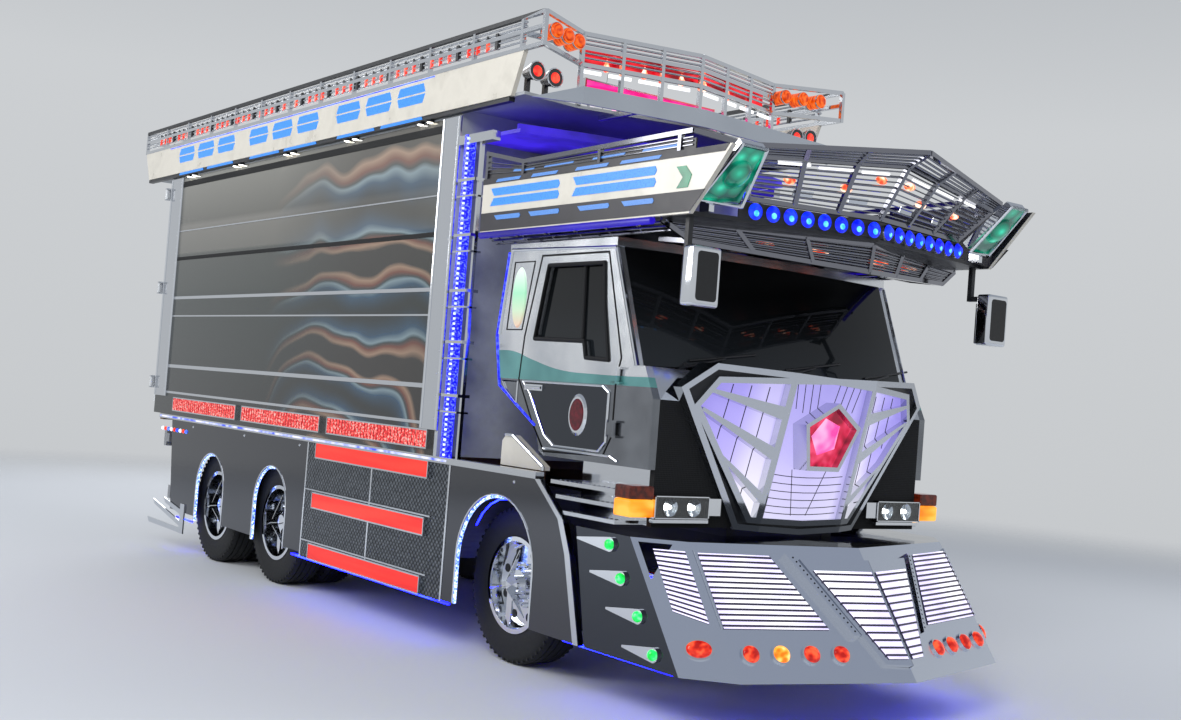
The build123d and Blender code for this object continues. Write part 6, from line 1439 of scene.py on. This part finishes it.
bumper_green = lit("green teardrop lens", ("#06B83C", "#1EF06A", "#8CFFB4"), 1.4, 22, 0.08)
bumper_red = lit("red round lens", ("#A81208", "#E8341A", "#FF6A3C"), 1.0, 26, 0.08)
bumper_orange = lit("orange round lens", ("#F0680A", "#FFA030", "#FFD080"), 1.5, 22, 0.08)
dress_faces("bumper_lamps", (plate_chrome, bumper_red, bumper_green, bumper_orange), bumper_lamp_part)
domes, greens, oranges, holes = (bmesh.new() for _ in range(4))
for side in (1, -1):
    for x in (0.387, 0.561, 0.735, 0.908):
        bm = oranges if side < 0 and x == 0.735 else domes
        place = aimed(*on_bumper(side, FRONT_ENDS, x, 0.424, 0.016))
        ball(bm, place @ Matrix.Diagonal((1, 1, 0.42, 1)), 0.044, 20, 12)
    place = aimed(*on_bumper(side, CORNER_ENDS, 1.128, 0.432, 0.012))
    ball(domes, place @ Matrix.Diagonal((1.2, 0.85, 0.4, 1)), 0.05, 20, 12)
    for station, z in ((-1.177, 0.884), (-1.294, 0.718), (-1.46, 0.544), (-1.604, 0.371)):
        place = Matrix.Translation((side * 1.258, at(station), z))
        ball(greens, place @ Matrix.Diagonal((0.75, 1.15, 1, 1)), 0.029, 16, 10)
    # The strip's holes are thin dark discs on its face: painted shade where each hole opens.
    for step in range(18):
        z = 0.52 + 0.0205 * step
        low, out = on_bumper(side, FRONT_ENDS, 0.262 + 0.554 * (z - 0.5), z, 0.0395)
        rod(holes, low, low + out * 0.0016, 0.0055, 8)
smooth(piece("bumper_lamp_domes", domes, bumper_red))
smooth(piece("bumper_teardrop_lenses", greens, bumper_green))
smooth(piece("bumper_orange_domes", oranges, bumper_orange))
piece("bumper_strip_hole_shade", holes, tray_black)

# Mirrors: chromed steel shells with rounded corners, hung on black arms, with flat glass on
# the side that faces the cab and a black moulded panel on the back.
mirror_glass = chrome("silvered mirror glass", "#B8BCC2", 0.03)
ARM_Z = 2.5
shell = merged("mirrors")
bmesh.ops.dissolve_limit(shell, angle_limit=math.radians(2), verts=shell.verts[:], edges=shell.edges[:])
corners = [v for v in shell.verts if v.co.y < at(-1.62) and v.co.z < ARM_Z]
soften(shell, corners, 0.018, 4, least=0.09)
for face in shell.faces:
    middle = face.calc_center_median()
    face.material_index = 1 if middle.y > at(-1.635) or middle.z > ARM_Z else 0
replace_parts(smooth(piece("mirror_shells", shell, (plate_chrome, cage_black)), 30), "mirrors")
GLASS_Z = (2.185, 2.42)
glasses, rims, backs = bmesh.new(), bmesh.new(), bmesh.new()
for side in (1, -1):
    block(glasses, side, (1.115, 1.275), (-1.64, -1.6375), GLASS_Z)
    left, right = sorted((side * 1.115, side * 1.275))
    low, high = GLASS_Z
    ring = ((left, low), (right, low), (right, high), (left, high), (left, low), (right, low))
    bend_tube(rims, [Vector((x, at(-1.6385), z)) for x, z in ring], 0.007, 8)
    made = block(backs, side, (1.125, 1.266), (-1.742, -1.739), (2.2, 2.455))
    soften(backs, made, 0.02, 4, most=0.004)
piece("mirror_back_panels", backs, housing)
piece("mirror_glasses", glasses, mirror_glass)
piece("mirror_rims", rims, rubber_strip)

# Underglow: blue LED tubes clipped under the skirts and the bumper. They wash the road and
# the wheel arches with blue.
underglow = lit("blue underglow tube", ("#0808FF", "#1420FF"), 20.0, 4)
GLOW_RUNS = (
    ((1.2, 2.86, 0.285), (1.2, 0.5, 0.285)),
    ((1.2, 5.35, 0.285), (1.2, 4.95, 0.285)),
    ((0.02, -2.16, 0.29), (0.98, -1.9, 0.29)),
    ((0.98, -1.9, 0.29), (1.2, -1.7, 0.29)),
    ((1.2, -1.7, 0.29), (1.2, -0.75, 0.29)),
)
bm = bmesh.new()
for side in (1, -1):
    for ends in GLOW_RUNS:
        near, far = [(side * x, at(station), z) for x, station, z in ends]
        rod(bm, near, far, 0.009, 8)
    for station, radius in ((-0.035, 0.40), (3.25, 0.3), (4.51, 0.3)):
        turns = [math.radians(150 - step * 15) for step in range(9)]
        arc = [(station + math.cos(a) * radius, 0.612 + math.sin(a) * radius) for a in turns]
        side_tube(bm, side, 1.16, arc, 0.006, 6)
piece("underglow_tubes", bm, underglow)
